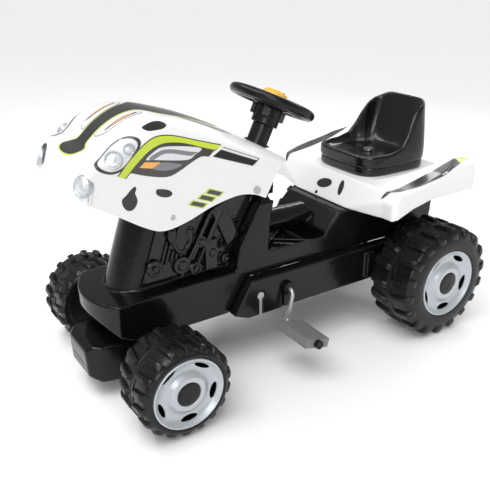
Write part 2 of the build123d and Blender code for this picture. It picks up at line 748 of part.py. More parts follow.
def rear_deck():
    """One moulded shell: the deck under the seat and the two fenders, open underneath."""
    t = deck_thickness
    outer = side_block(deck_side(), 200) & front_block(deck_section()) & extrude(deck_plan(), 500)
    inner_side = offset_face(deck_side(), -t)
    for step in range(1, 15):
        inner_side += Pos(0, -t * step) * offset_face(deck_side(), -t)
    inner = side_block(inner_side, 200) & front_block(offset_face(deck_section(), -t))
    inner &= extrude(offset_face(deck_plan(), -t), 500)
    deck = outer - inner
    slot_length = 2 * (seat_travel + seat_bolt_radius + seat_gap)
    deck -= Pos(0, seat_bolt_y, deck_z) * extrude(
        SlotOverall(slot_length, 2 * (seat_bolt_radius + seat_gap), rotation=90), 20, both=True)
    return deck


# ---------------------------------------------------------------- seat
def seat_outline():
    y, z = seat_front_y, deck_z + seat_gap
    top = z + seat_height
    rear = y + seat_length
    return outline([(y, z), (y - 2, z + 30), (y + 7, z + 40), (y + 60, z + 42), (y + 92, z + 50),
                    (y + 114, z + 86), (y + 126, top - 8), (y + 138, top), (y + 152, top - 4),
                    (y + 160, top - 22), (rear, z)])


def seat_bowl():
    y, z = seat_front_y, deck_z + seat_gap
    top = z + seat_height
    return outline([(y + 8, z + 60), (y + 10, z + 30), (y + 22, z + 26), (y + 88, z + 27), (y + 108, z + 34),
                    (y + 124, z + 54), (y + 134, z + 90), (y + 141, top - 5), (y + 142, top + 20), (y, top + 20)])


def seat_under():
    y, z = seat_front_y, deck_z + seat_gap
    return outline([(y + 5, z - 1), (y + 5, z + 20), (y + 112, z + 21), (y + 130, z + 44), (y + 145, z + 90),
                    (y + 154, z + 90), (y + seat_length - 5, z - 1)])


def seat_front_outline(half_base, half_top, top):
    z = deck_z
    right = [(half_base - 2, z - 5), (half_base, z + 30), (half_base, z + 50), (half_top + 4, z + 88),
             (half_top, top - 24), (half_top - 12, top - 8), (half_top - 30, top), (0, top + 1)]
    return outline(right + [(-x, h) for x, h in reversed(right[:-1])])


def seat_shell():
    top = deck_z + seat_gap + seat_height
    outer = side_block(seat_outline(), 120) & front_block(seat_front_outline(seat_half_width, 68, top))
    corner = 22
    y0, y1 = seat_front_y - 4, seat_front_y + seat_length + 1
    plan = Pos(0, (y0 + y1) / 2, 0) * RectangleRounded(2 * seat_half_width, y1 - y0, corner)
    outer &= extrude(plan, 500)
    bowl = side_block(seat_bowl(), 120) & front_block(seat_front_outline(seat_half_width - 13, 56, top + 30))
    under = side_block(seat_under(), seat_half_width - 6)
    seat = outer - bowl - under
    pad = rod_z(16, deck_z + seat_gap, deck_z + seat_gap + 22, 0, seat_bolt_y)
    seat += pad
    seat -= rod_z(seat_bolt_radius + fixed_gap, deck_z - 10, deck_z + 60, 0, seat_bolt_y)
    return seat


def seat_bolt():
    z = deck_z + seat_gap
    pan = z + 26.5
    bolt = rod_z(seat_bolt_radius, deck_z - 20, pan + 1, 0, seat_bolt_y)
    return bolt + rod_z(9, pan + 0.5, pan + 4.5, 0, seat_bolt_y)


def seat_nut():
    top = deck_z - deck_thickness - seat_gap
    nut = rod_z(10, top - 3, top, 0, seat_bolt_y) + rod_z(7, top - 11, top, 0, seat_bolt_y)
    nut += box(-18, 18, seat_bolt_y - 2, seat_bolt_y + 2, top - 11, top - 3)
    return nut - rod_z(seat_bolt_radius + fixed_gap / 2, top - 20, top + 1, 0, seat_bolt_y)


def seat_latch():
    y = seat_front_y + seat_length + 0.1
    z = deck_z + seat_gap
    return box(-16, 16, y, y + 10, z + 6, z + 18) + box(-10, 10, y + 9, y + 14, z + 10, z + 20)


# ---------------------------------------------------------------- hitch
def tow_hitch():
    """Tongue at the tail with an upright bore for a drawbar pin and a loop at its tip."""
    z = 148.0
    slope = (case_rear_y - case_rear_foot[0]) / (seam_z - case_rear_foot[1])
    low, high = z - 20, z + 14
    seat_low = case_rear_foot[0] + slope * (low - case_rear_foot[1]) + fixed_gap
    seat_high = case_rear_foot[0] + slope * (high - case_rear_foot[1]) + fixed_gap
    tongue = side_block(outline([(seat_low, low), (seat_high, high), (324, high), (324, low)]), 20)
    tongue += box(-20, 20, 320, hitch_y, z, z + 8)
    tongue += rod_z(20, z, z + 8, 0, hitch_y)
    for side in (-1, 1):
        tongue += side_block(outline([(320, z + 7), (350, z + 7), (320, z + 14)]), 2).moved(Location((side * 17, 0, 0)))
    tongue -= rod_z(hitch_bore_radius, z - 5, z + 20, 0, hitch_y)
    loop = Pos(0, hitch_y + 18, z + 16) * Rot(0, 0, 90) * Rot(90, 0, 0) * Torus(8, 2.6)
    tongue += loop
    return tongue


# ---------------------------------------------------------------- every node
def all_nodes():
    nodes = {
        "chassis_frame": chassis_frame(),
        "chain_case": chain_case(),
        "engine_panel_left": engine_panel(),
        "engine_panel_right": mirrored(engine_panel()),
        "hood_shell": opened(hood_shell()),
        "column_tube": column_tube(),
        "column_bezel": column_bezel(),
        "steering_wheel": steering_wheel(),
        "wheel_hub": wheel_hub(),
        "steering_shaft": steering_shaft(),
        "shaft_bearing": shaft_bearing(),
        "drag_link": drag_link(),
        "horn_button": horn_button(),
        "axle_carrier": axle_carrier(),
        "link_pin": link_pin(),
        "kingpin": kingpin(),
        "kingpin_block": kingpin_block(),
        "crank_rod": crank_rod(),
        "crank_sprocket": sprocket(crank_teeth, crank_pitch_radius, 3.6, crank_rod_radius + fixed_gap, chain_x,
                                   crank_axis_y, crank_axis_z),
        "axle_sprocket": sprocket(axle_teeth, axle_pitch_radius, 3.6, axle_radius + fixed_gap, chain_x,
                                  rear_axle_y, rear_axle_z),
        "drive_chain": drive_chain(),
        "rear_deck": rear_deck(),
        "seat_shell": seat_shell(),
        "seat_bolt": seat_bolt(),
        "seat_nut": seat_nut(),
        "seat_latch": seat_latch(),
        "tow_hitch": tow_hitch(),
    }
    for lamp_name in hood_lamp_places:
        lamp = hood_lamp(lamp_name)
        nodes[lamp_name] = opened(Compound([lamp, mirrored(lamp)]))
    rear_reach = rear_tyre_inner_x + rear_tyre_width - 22
    front_reach = front_tyre_inner_x + front_tyre_width - 22
    nodes["rear_axle"] = rod_x(axle_radius, -rear_reach, rear_reach, rear_axle_y, rear_axle_z)
    nodes["front_axle"] = rod_x(axle_radius, -front_reach, front_reach, front_axle_y, front_axle_z)
    rear = (rear_tyre_inner_x, rear_axle_y, rear_axle_z)
    front = (front_tyre_inner_x, front_axle_y, front_axle_z)
    rear_set = (tyre(rear_tyre_radius, rear_tyre_width, rear_cap_radius), hub_cap(rear_tyre_width, rear_cap_radius),
                centre_cap(rear_tyre_width), push_nut(rear_tyre_width), rear)
    front_set = (tyre(front_tyre_radius, front_tyre_width, front_cap_radius),
                 hub_cap(front_tyre_width, front_cap_radius), centre_cap(front_tyre_width),
                 push_nut(front_tyre_width), front)
    for side, side_name in ((1, "left"), (-1, "right")):
        screw = hood_screw()
        nodes[f"hood_screw_{side_name}"] = screw if side > 0 else mirrored(screw)
        nodes[f"pedal_{side_name}"] = pedal(side)
        nodes[f"pedal_cap_{side_name}"] = pedal_cap(side)
        clip = crank_clip()
        nodes[f"crank_clip_{side_name}"] = clip if side > 0 else mirrored(clip)
        bush = axle_bush()
        nodes[f"axle_bush_{side_name}"] = bush if side > 0 else mirrored(bush)
        for set_name, pieces in (("rear", rear_set), ("front", front_set)):
            for piece_name, shape in zip(("tyre", "hub_cap", "centre_cap", "push_nut"), pieces[:4]):
                nodes[f"{piece_name}_{set_name}_{side_name}"] = on_axle(shape, *pieces[4], side)
    return nodes


def centred(nodes):
    """Moves every node so that the origin is on the ground, midway along and across the whole."""
    whole = Compound([shape for shape in nodes.values()]).bounding_box()
    shift = Pos(-whole.center().X, -whole.center().Y, -whole.min.Z)
    return {name: shift * shape for name, shape in nodes.items()}, shift.position


os.makedirs("parts", exist_ok=True)
placed_nodes, layout_shift = centred(all_nodes())
for node_name, node_shape in placed_nodes.items():
    export_step(node_shape, f"parts/{node_name}.step")
print(len(placed_nodes), "nodes, layout moved by", layout_shift)
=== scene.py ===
import json
from math import cos, pi, radians, sin, sqrt

import bmesh
import bpy
import numpy as np
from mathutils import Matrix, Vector
from mathutils.bvhtree import BVHTree


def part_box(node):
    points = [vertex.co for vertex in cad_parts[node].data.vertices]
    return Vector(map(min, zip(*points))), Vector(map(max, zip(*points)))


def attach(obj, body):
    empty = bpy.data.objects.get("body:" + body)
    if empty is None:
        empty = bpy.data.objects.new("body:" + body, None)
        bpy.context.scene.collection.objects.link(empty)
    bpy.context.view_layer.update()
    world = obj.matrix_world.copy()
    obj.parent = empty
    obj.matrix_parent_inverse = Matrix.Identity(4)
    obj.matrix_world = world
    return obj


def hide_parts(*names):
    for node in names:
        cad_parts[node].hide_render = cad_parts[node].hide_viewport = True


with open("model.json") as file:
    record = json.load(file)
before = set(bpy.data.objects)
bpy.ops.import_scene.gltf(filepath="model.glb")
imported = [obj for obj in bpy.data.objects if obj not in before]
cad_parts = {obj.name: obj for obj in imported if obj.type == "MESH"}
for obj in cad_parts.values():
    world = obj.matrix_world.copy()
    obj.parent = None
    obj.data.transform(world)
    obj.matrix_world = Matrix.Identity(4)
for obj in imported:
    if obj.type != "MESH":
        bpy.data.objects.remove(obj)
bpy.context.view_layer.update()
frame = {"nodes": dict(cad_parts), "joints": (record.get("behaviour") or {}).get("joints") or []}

# A ride-on pedal tractor.  Lengths are in metres unless a name or a comment says millimetres.
# X is the driver's left, Y runs backwards, Z is up.

MM = 0.001
joints = {joint["name"]: joint for joint in frame["joints"]}
nodes = frame["nodes"]


def joint_place(name):
    return Vector(joints[name]["pos_m"])


# ================================================================ shader nodes
class Socket:
    """An output socket that takes part in Python arithmetic by adding Math nodes."""

    def __init__(self, finish, link):
        self.finish = finish
        self.link = link

    def math(self, operation, *others):
        return self.finish.node("ShaderNodeMath", {"operation": operation}, [self, *others])

    def __add__(self, other):
        return self.math("ADD", other)

    def __radd__(self, other):
        return self.math("ADD", other)

    def __sub__(self, other):
        return self.math("SUBTRACT", other)

    def __rsub__(self, other):
        return self.finish.node("ShaderNodeMath", {"operation": "SUBTRACT"}, [other, self])

    def __mul__(self, other):
        return self.math("MULTIPLY", other)

    def __rmul__(self, other):
        return self.math("MULTIPLY", other)


class Finish:
    """One material: its node tree, its Principled shader and the ways to add nodes to it."""

    def __init__(self, name, **constants):
        self.material = bpy.data.materials.new(name)
        self.material.use_nodes = True
        self.tree = self.material.node_tree
        self.shader = self.tree.nodes["Principled BSDF"]
        for socket_name, value in constants.items():
            self.shader.inputs[socket_name.replace("_", " ")].default_value = value

    def node(self, kind, settings, values, output=0):
        """Adds a node: settings first, then its inputs in order or by name, as values or sockets."""
        added = self.tree.nodes.new(kind)
        for key, value in settings.items():
            setattr(added, key, value)
        pairs = values.items() if isinstance(values, dict) else enumerate(values)
        for key, value in pairs:
            self.fill(added.inputs[key], value)
        return Socket(self, added.outputs[output])

    def fill(self, target, value):
        if isinstance(value, Socket):
            self.tree.links.new(value.link, target)
        else:
            target.default_value = value

    def where(self):
        return self.node("ShaderNodeTexCoord", {}, {}, "Object")

    def noise(self, scale, detail=3.0, roughness=0.5):
        return self.node("ShaderNodeTexNoise", {},
                         {"Vector": self.where(), "Scale": scale, "Detail": detail, "Roughness": roughness}, "Fac")

    def cells(self, scale):
        return self.node("ShaderNodeTexVoronoi", {"feature": "F1"},
                         {"Vector": self.where(), "Scale": scale}, "Distance")

    def mix(self, amount, first, second):
        return self.node("ShaderNodeMix", {"data_type": "RGBA"}, {0: amount, 6: first, 7: second}, 2)

    def bump(self, height, distance, strength=1.0):
        return self.node("ShaderNodeBump", {},
                         {"Strength": strength, "Distance": distance, "Height": height}, "Normal")

    def set(self, **links):
        for name, value in links.items():
            self.fill(self.shader.inputs[name.replace("_", " ")], value)
        return self


def grey(value, tint=(1.0, 1.0, 1.0)):
    return (value * tint[0], value * tint[1], value * tint[2], 1.0)


def moulded_plastic(name, colour, sheen_drop=0.03, rough=0.25, grain=900.0, grain_height=0.00004, coat=0.0,
                    wave_height=0.00012, reflect=0.5):
    """Injection or blow moulded plastic: colour drifts slightly, the gloss is uneven, the skin faintly wavy."""
    finish = Finish(name, Coat_Weight=coat, Coat_Roughness=0.08, IOR=1.48, Specular_IOR_Level=reflect)
    drift = finish.noise(9.0, 4.0)
    darker = tuple(channel * (1.0 - sheen_drop * 4) for channel in colour[:3]) + (1.0,)
    base = finish.mix(drift, darker, colour)
    gloss = finish.noise(60.0, 5.0) * 0.10 + (finish.noise(14.0, 2.0) * 0.08 + (rough - 0.09))
    skin = finish.noise(34.0, 2.0)
    fine = finish.noise(grain, 2.0)
    wavy = finish.bump(skin, wave_height)
    grained = finish.node("ShaderNodeBump", {},
                          {"Strength": 0.5, "Distance": grain_height, "Height": fine, "Normal": wavy}, "Normal")
    return finish.set(Base_Color=base, Roughness=gloss, Normal=grained).material


def pearl_silver():
    """Silver pearl plastic of the wheel caps and lamp rings: fine flakes in a clear skin."""
    finish = Finish("silver_plastic", Coat_Weight=0.6, Coat_Roughness=0.12)
    flakes = finish.cells(2600.0)
    drift = finish.noise(16.0, 3.0)
    light = finish.mix(flakes, (0.50, 0.535, 0.565, 1.0), (0.40, 0.435, 0.47, 1.0))
    base = finish.mix(drift * 0.35, light, (0.60, 0.63, 0.66, 1.0))
    wavy = finish.bump(finish.noise(40.0, 2.0), 0.00008)
    return finish.set(Base_Color=base, Roughness=0.30 + flakes * 0.12, Metallic=0.42 - flakes * 0.1,
                      Normal=wavy).material


def steel(name, value, rough):
    """Zinc-plated or oiled steel: a drawn grain and small stains."""
    finish = Finish(name)
    stain = finish.noise(120.0, 5.0, 0.65)
    grain = finish.noise(2200.0, 2.0)
    base = finish.mix(stain, grey(value * 0.72, (1.0, 0.98, 0.94)), grey(value, (1.0, 1.0, 0.99)))
    return finish.set(Base_Color=base, Metallic=0.92 - stain * 0.1, Roughness=rough + stain * 0.16,
                      Normal=finish.bump(grain, 0.00003)).material


def tyre_black():
    """Blow-moulded wheel: satin black with a soft bloom and a fine mould texture."""
    finish = Finish("wheel_plastic", IOR=1.46, Specular_IOR_Level=0.36)
    bloom = finish.noise(18.0, 4.0, 0.6)
    base = finish.mix(bloom, (0.0048, 0.0047, 0.0052, 1.0), (0.0092, 0.0088, 0.0100, 1.0))
    gloss = finish.noise(80.0, 4.0) * 0.12 + 0.22
    skin = finish.bump(finish.noise(26.0, 2.0), 0.0004)
    fine = finish.node("ShaderNodeBump", {}, {"Strength": 0.4, "Distance": 0.00004,
                                              "Height": finish.noise(1400.0, 2.0), "Normal": skin}, "Normal")
    return finish.set(Base_Color=base, Roughness=gloss, Normal=fine).material


def seat_black():
    """Glossy seat shell; the pebbled grain of the pan and the inside of the back is laid over the whole shell."""
    finish = Finish("seat_plastic", Coat_Weight=0.12, Coat_Roughness=0.05, IOR=1.5, Specular_IOR_Level=0.36)
    drift = finish.noise(12.0, 3.0)
    base = finish.mix(drift, (0.0040, 0.0040, 0.0045, 1.0), (0.0072, 0.0072, 0.0080, 1.0))
    skin = finish.bump(finish.noise(22.0, 2.0), 0.0005)
    pebbles = finish.node("ShaderNodeBump", {}, {"Strength": 0.35, "Distance": 0.00012,
                                                 "Height": finish.cells(420.0), "Normal": skin}, "Normal")
    return finish.set(Base_Color=base, Roughness=finish.noise(50.0, 4.0) * 0.12 + 0.16, Normal=pebbles).material


def print_ink(name, colour, second=None):
    """Printed vinyl: the ink has a fine screen, the foil a soft gloss."""
    finish = Finish(name, Coat_Weight=0.3, Coat_Roughness=0.1)
    screen = finish.noise(3000.0, 1.0)
    cloud = finish.noise(30.0, 3.0)
    second = second or tuple(channel * 0.82 for channel in colour[:3]) + (1.0,)
    base = finish.mix(cloud * 0.7 + screen * 0.2, colour, second)
    return finish.set(Base_Color=base, Roughness=0.26 + screen * 0.08,
                      Normal=finish.bump(screen, 0.00001)).material


def lamp_face():
    """Pearl-white printed lamp: tone that drifts at random, and faint rings."""
    finish = Finish("lens", Coat_Weight=0.8, Coat_Roughness=0.05)
    rings = finish.cells(1500.0)
    base = finish.mix(finish.noise(90.0, 3.0), (0.52, 0.545, 0.57, 1.0), (0.78, 0.80, 0.82, 1.0))
    return finish.set(Base_Color=base, Roughness=0.18 + rings * 0.1, Metallic=0.25 + rings * 0.1,
                      Normal=finish.bump(rings, 0.00006)).material


def floor_paper():
    finish = Finish("floor_paper", Specular_IOR_Level=0.2)
    base = finish.mix(finish.noise(3.0, 2.0), (0.93, 0.93, 0.93, 1.0), (0.95, 0.95, 0.95, 1.0))
    return finish.set(Base_Color=base, Roughness=0.55 + finish.noise(40.0, 2.0) * 0.1).material


finishes = {
    "black_plastic": moulded_plastic("black_plastic", (0.0045, 0.0045, 0.0052, 1.0), rough=0.19,
                                     wave_height=0.0005, reflect=0.34),
    "satin_black": moulded_plastic("satin_black", (0.0062, 0.0062, 0.0068, 1.0), rough=0.28, grain=1500.0,
                                   reflect=0.32),
    "white_plastic": moulded_plastic("white_plastic", (0.85, 0.855, 0.85, 1.0), sheen_drop=0.006, rough=0.24,
                                     coat=0.35, wave_height=0.00025),
    "grey_plastic": moulded_plastic("grey_plastic", (0.20, 0.203, 0.207, 1.0), rough=0.42, grain=700.0,
                                    grain_height=0.0001),
    "yellow_plastic": moulded_plastic("yellow_plastic", (0.93, 0.52, 0.045, 1.0), rough=0.28),
    "bush_plastic": moulded_plastic("bush_plastic", (0.66, 0.655, 0.62, 1.0), rough=0.42),
    "engine_plastic": moulded_plastic("engine_plastic", (0.0045, 0.0045, 0.0055, 1.0), rough=0.16, grain=500.0,
                                      grain_height=0.00012, reflect=0.45),
    "silver_plastic": pearl_silver(),
    "wheel_plastic": tyre_black(),
    "seat_plastic": seat_black(),
    "steel": steel("steel", 0.58, 0.28),
    "chain_steel": steel("chain_steel", 0.30, 0.38),
    "lens": lamp_face(),
}
lime_ink = print_ink("lime_ink", (0.62, 0.76, 0.055, 1.0))
dark_ink = print_ink("dark_ink", (0.060, 0.056, 0.050, 1.0))
black_ink = print_ink("black_ink", (0.014, 0.014, 0.015, 1.0))
grey_ink = print_ink("grey_ink", (0.23, 0.235, 0.25, 1.0))
pale_ink = print_ink("pale_ink", (0.80, 0.81, 0.83, 1.0))
orange_ink = print_ink("orange_ink", (0.87, 0.30, 0.045, 1.0), (0.93, 0.58, 0.16, 1.0))


# ================================================================ mesh helpers
def new_piece(name, mesh):
    piece = bpy.data.objects.new(name, mesh)
    bpy.context.scene.collection.objects.link(piece)
    return piece


def mesh_from(name, points, faces):
    mesh = bpy.data.meshes.new(name)
    mesh.from_pydata([tuple(p) for p in points], [], faces)
    mesh.update()
    return mesh


def smooth_shade(piece, angle=None):
    for polygon in piece.data.polygons:
        polygon.use_smooth = True
    if angle is not None:
        piece.data.set_sharp_from_angle(angle=radians(angle))


def modify(piece, kind, **settings):
    modifier = piece.modifiers.new(kind.lower(), kind)
    for key, value in settings.items():
        setattr(modifier, key, value)
    return modifier


def settle(piece):
    """Applies every modifier, so that the piece is a plain mesh."""
    graph = bpy.context.evaluated_depsgraph_get()
    mesh = bpy.data.meshes.new_from_object(piece.evaluated_get(graph))
    piece.modifiers.clear()
    old = piece.data
    piece.data = mesh
    bpy.data.meshes.remove(old)
    return piece


def clean(mesh, distance=1e-6):
    work = bmesh.new()
    work.from_mesh(mesh)
    bmesh.ops.remove_doubles(work, verts=work.verts, dist=distance)
    bmesh.ops.dissolve_degenerate(work, edges=work.edges, dist=distance)
    bmesh.ops.recalc_face_normals(work, faces=work.faces)
    work.to_mesh(mesh)
    work.free()


def finish_piece(piece, material, body, slot, *replaced):
    """Gives a finished mesh its material and body, and hides the CAD nodes that it stands for; slot is not used."""
    if not piece.data.materials:
        piece.data.materials.append(finishes[material] if isinstance(material, str) else material)
    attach(piece, body)
    if replaced:
        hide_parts(*replaced)
    return piece


def cad_copy(name, node):
    mesh = nodes[node].data.copy()
    mesh.materials.clear()
    clean(mesh, 2e-6)
    return new_piece(name, mesh)


def moulded_copy(node, body, material, slot, voxel, rounds, share=1.0, extras=()):
    """A CAD part with the soft corners of a moulding: remeshed, relaxed and thinned out again."""
    piece = cad_copy("moulded_" + node, node)
    if extras:
        piece = joined(piece.name, [piece, *extras])
    modify(piece, "REMESH", mode="VOXEL", voxel_size=voxel)
    modify(piece, "SMOOTH", factor=0.5, iterations=rounds)
    if share < 1.0:
        modify(piece, "DECIMATE", ratio=share)
    settle(piece)
    smooth_shade(piece)
    return finish_piece(piece, material, body, slot, node)


def joined(name, parts):
    """Puts several plain meshes into one piece."""
    work = bmesh.new()
    for part in parts:
        work.from_mesh(part.data)
    mesh = bpy.data.meshes.new(name)
    work.to_mesh(mesh)
    work.free()
    for part in parts:
        bpy.data.objects.remove(part)
    return new_piece(name, mesh)


def spun(name, section, steps=96, axis_place=(0, 0, 0)):
    """Turns a closed (x, radius) outline, in metres, about the X axis."""
    points = []
    count = len(section)
    for i in range(steps):
        angle = 2 * pi * i / steps
        for x, radius in section:
            points.append((axis_place[0] + x, axis_place[1] + radius * sin(angle),
                           axis_place[2] + radius * cos(angle)))
    faces = []
    for i in range(steps):
        for j in range(count):
            a = i * count + j
            b = i * count + (j + 1) % count
            c = ((i + 1) % steps) * count + (j + 1) % count
            d = ((i + 1) % steps) * count + j
            faces.append((a, b, c, d))
    mesh = mesh_from(name, points, faces)
    clean(mesh)
    return new_piece(name, mesh)


def curve_through(points, steps):
    """Catmull-Rom line through the points, with steps samples on each stretch."""
    line = []
    ends = [points[0]] + list(points) + [points[-1]]
    for i in range(1, len(ends) - 2):
        before, start, end, after = (np.array(p, float) for p in ends[i - 1:i + 3])
        for k in range(steps):
            t = k / steps
            line.append(0.5 * ((2 * start) + (end - before) * t + (2 * before - 5 * start + 4 * end - after) * t ** 2
                               + (3 * start - before - 3 * end + after) * t ** 3))
    line.append(np.array(points[-1], float))
    return np.array(line)


def cut_away(piece, cutter, operation="DIFFERENCE"):
    modify(piece, "BOOLEAN", operation=operation, object=cutter, solver="EXACT")
    settle(piece)
    bpy.data.objects.remove(cutter)


def prism(name, outline, place, depth):
    """A solid made by pushing a flat outline from -depth to +depth; place maps (u, v, w) to the frame."""
    count = len(outline)
    points = [place(u, v, w) for w in (-depth, depth) for u, v in outline]
    faces = [tuple(reversed(range(count))), tuple(range(count, 2 * count))]
    faces += [(i, (i + 1) % count, count + (i + 1) % count, count + i) for i in range(count)]
    mesh = mesh_from(name, points, faces)
    clean(mesh)
    return new_piece(name, mesh)


def loop_of(centre, radius_u, radius_v, turn=0.0, count=28, point=1.0):
    """Ellipse; point under 1 squares it and over 1 draws its ends out to a lens shape."""
    loop = []
    for i in range(count):
        angle = 2 * pi * i / count
        u = radius_u * cos(angle)
        v = radius_v * (abs(sin(angle)) ** point) * (1 if sin(angle) >= 0 else -1)
        loop.append((centre[0] + u * cos(turn) - v * sin(turn), centre[1] + u * sin(turn) + v * cos(turn)))
    return loop


# ================================================================ geometry nodes
def copies_tree(name, sockets, scatter):
    """A tree that puts a shape at scattered points and paints it.
    scatter makes the points and gives back the copies, moved or as they are."""
    tree = bpy.data.node_groups.new(name, "GeometryNodeTree")
    kinds = {"Shape": "Object", **sockets, "Material": "Material"}
    for socket_name, kind in kinds.items():
        tree.interface.new_socket(socket_name, in_out="INPUT", socket_type="NodeSocket" + kind)
    tree.interface.new_socket("Geometry", in_out="OUTPUT", socket_type="NodeSocketGeometry")
    new, link = tree.nodes.new, tree.links.new
    given = new("NodeGroupInput").outputs
    shape = new("GeometryNodeObjectInfo")
    place = new("GeometryNodeInstanceOnPoints")
    realize = new("GeometryNodeRealizeInstances")
    paint = new("GeometryNodeSetMaterial")
    link(given["Shape"], shape.inputs["Object"])
    link(shape.outputs["Geometry"], place.inputs["Instance"])
    link(place.outputs[0], realize.inputs[0])
    link(scatter(new, link, given, place, realize.outputs[0]), paint.inputs["Geometry"])
    link(given["Material"], paint.inputs["Material"])
    link(paint.outputs[0], new("NodeGroupOutput").inputs[0])
    return tree


def ring_scatter(new, link, given, place, copies):
    """All points at the centre, each copy turned about X by its share of a full turn plus the phase."""
    points = new("GeometryNodePoints")
    share = new("ShaderNodeMath")
    share.operation = "DIVIDE"
    angle = new("ShaderNodeMath")
    angle.operation = "MULTIPLY_ADD"
    angle.inputs[1].default_value = 2 * pi
    turn = new("ShaderNodeCombineXYZ")
    link(given["Count"], points.inputs["Count"])
    link(given["Centre"], points.inputs["Position"])
    link(new("GeometryNodeInputIndex").outputs[0], share.inputs[0])
    link(given["Count"], share.inputs[1])
    link(share.outputs[0], angle.inputs[0])
    link(given["Phase"], angle.inputs[2])
    link(angle.outputs[0], turn.inputs["X"])
    link(points.outputs[0], place.inputs["Points"])
    link(turn.outputs[0], place.inputs["Rotation"])
    return copies


def grid_scatter(new, link, given, place, copies):
    """A flat grid of points; the copies are turned and moved together afterwards."""
    grid = new("GeometryNodeMeshGrid")
    move = new("GeometryNodeTransform")
    for socket_name, target in (("Size X", "Size X"), ("Size Y", "Size Y"), ("Columns", "Vertices X"),
                                ("Rows", "Vertices Y")):
        link(given[socket_name], grid.inputs[target])
    link(grid.outputs["Mesh"], place.inputs["Points"])
    link(copies, move.inputs["Geometry"])
    link(given["Centre"], move.inputs["Translation"])
    link(given["Turn"], move.inputs["Rotation"])
    return move.outputs["Geometry"]


def repeated(name, tree, material, **values):
    """Runs a repeating tree on an empty mesh and returns the result as a plain mesh piece."""
    piece = new_piece(name, bpy.data.meshes.new(name))
    modifier = piece.modifiers.new("repeat", "NODES")
    modifier.node_group = tree
    sockets = {item.name: item.identifier for item in tree.interface.items_tree}
    for key, value in values.items():
        modifier[sockets[key.replace("_", " ")]] = value
    modifier[sockets["Material"]] = material
    settle(piece)
    smooth_shade(piece, 35)
    return piece


ring_tree = copies_tree("ring_of_copies", {"Count": "Int", "Phase": "Float", "Centre": "Vector"}, ring_scatter)
grid_tree = copies_tree("grid_of_copies", {"Size X": "Float", "Size Y": "Float", "Columns": "Int", "Rows": "Int",
                                           "Centre": "Vector", "Turn": "Vector"}, grid_scatter)


# ================================================================ bonnet
# Drawn closed, in millimetres backwards and up from its hinge, then swung open like the CAD part.
hinge = joint_place("hood_hinge")
open_angle = radians(joints["hood_hinge"]["range_deg"][1])
hood_half = max(abs(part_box("hood_shell")[0].x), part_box("hood_shell")[1].x) / MM
hood_wall = 3.0

hood_profile = [(-267, -105), (-275, -84), (-278.5, -62), (-271, -48), (-259, -36), (-246, -3), (-225, 27),
                (-197, 46), (-146, 59), (-90, 68), (-30, 71), (25, 70.5)]
hood_corner_radius = [8, 8, 9, 11, 13, 20, 30, 40, 48, 52, 52, 52]
hood_edge = [(-262, -105), (-210, -107.5), (-160, -111), (-129, -107), (-97, -82), (-68, -50), (-30, -19),
             (0, -8), (24, -7)]
rear_bulge = 60.0
rear_drop = 3.0
wall_steps, round_steps, top_steps = 7, 7, 12


def closed_to_frame(x, back, up):
    """From the closed bonnet's millimetres to its open place in the frame."""
    y = back * cos(open_angle) + up * sin(open_angle)
    z = -back * sin(open_angle) + up * cos(open_angle)
    return Vector((x * MM, hinge.y + y * MM, hinge.z + z * MM))


def hood_skin():
    """Outer skin as rows of points: each row runs from the left lower edge over the top to the right one."""
    line = curve_through(hood_profile, 6)
    radii = curve_through([(i, r) for i, r in enumerate(hood_corner_radius)], 6)[:, 1]
    edge = curve_through(hood_edge, 8)
    along = np.gradient(line, axis=0)
    along /= np.linalg.norm(along, axis=1)[:, None]
    inward = np.stack([along[:, 1], -along[:, 0]], axis=1)
    shoulder = line + inward * (radii + 3.0)[:, None]
    travel = np.concatenate([[0], np.cumsum(np.maximum(np.diff(shoulder[:, 0]), 0.4))])
    travel = travel / travel[-1]
    edge_back = edge[0, 0] + travel * (edge[-1, 0] - edge[0, 0])
    edge_up = np.interp(edge_back, edge[:, 0], edge[:, 1])
    rows = []
    for i, (back, up) in enumerate(line):
        radius = radii[i]
        flat = hood_half - radius
        share = max(0.0, (i / (len(line) - 1) - 0.72) / 0.28)
        stretch = share * share * (3 - 2 * share)
        low = np.array((edge_back[i], min(edge_up[i], shoulder[i][1])))
        half = []
        for k in range(wall_steps):
            point = low + (shoulder[i] - low) * (k / wall_steps)
            half.append((hood_half, point[0], point[1]))
        for k in range(round_steps):
            angle = (pi / 2) * k / round_steps
            depth = 3.0 + radius * (1 - sin(angle))
            point = line[i] + inward[i] * depth
            half.append((flat + radius * cos(angle), point[0], point[1]))
        for k in range(top_steps // 2 + 1):
            across = flat * (1 - 2 * k / top_steps)
            depth = 3.0 * (across / flat) ** 2
            point = line[i] + inward[i] * depth
            half.append((across, point[0], point[1]))
        half = [(x, b + stretch * rear_bulge * (1 - (x / hood_half) ** 2),
                 u - stretch * rear_drop * (1 - (x / hood_half) ** 2)) for x, b, u in half]
        rows.append(half + [(-x, b, u) for x, b, u in reversed(half[:-1])])
    return rows


def hood_outer_mesh(name):
    rows = hood_skin()
    width = len(rows[0])
    points = [(x * MM, b * MM, u * MM) for row in rows for x, b, u in row]
    faces = [(i * width + j, i * width + j + 1, (i + 1) * width + j + 1, (i + 1) * width + j)
             for i in range(len(rows) - 1) for j in range(width - 1)]
    mesh = mesh_from(name, points, faces)
    clean(mesh, 1e-5)
    work = bmesh.new()
    work.from_mesh(mesh)
    upward = sum(face.normal.z * face.calc_area() for face in work.faces)
    if upward < 0:
        bmesh.ops.reverse_faces(work, faces=work.faces)
    work.to_mesh(mesh)
    work.free()
    return mesh


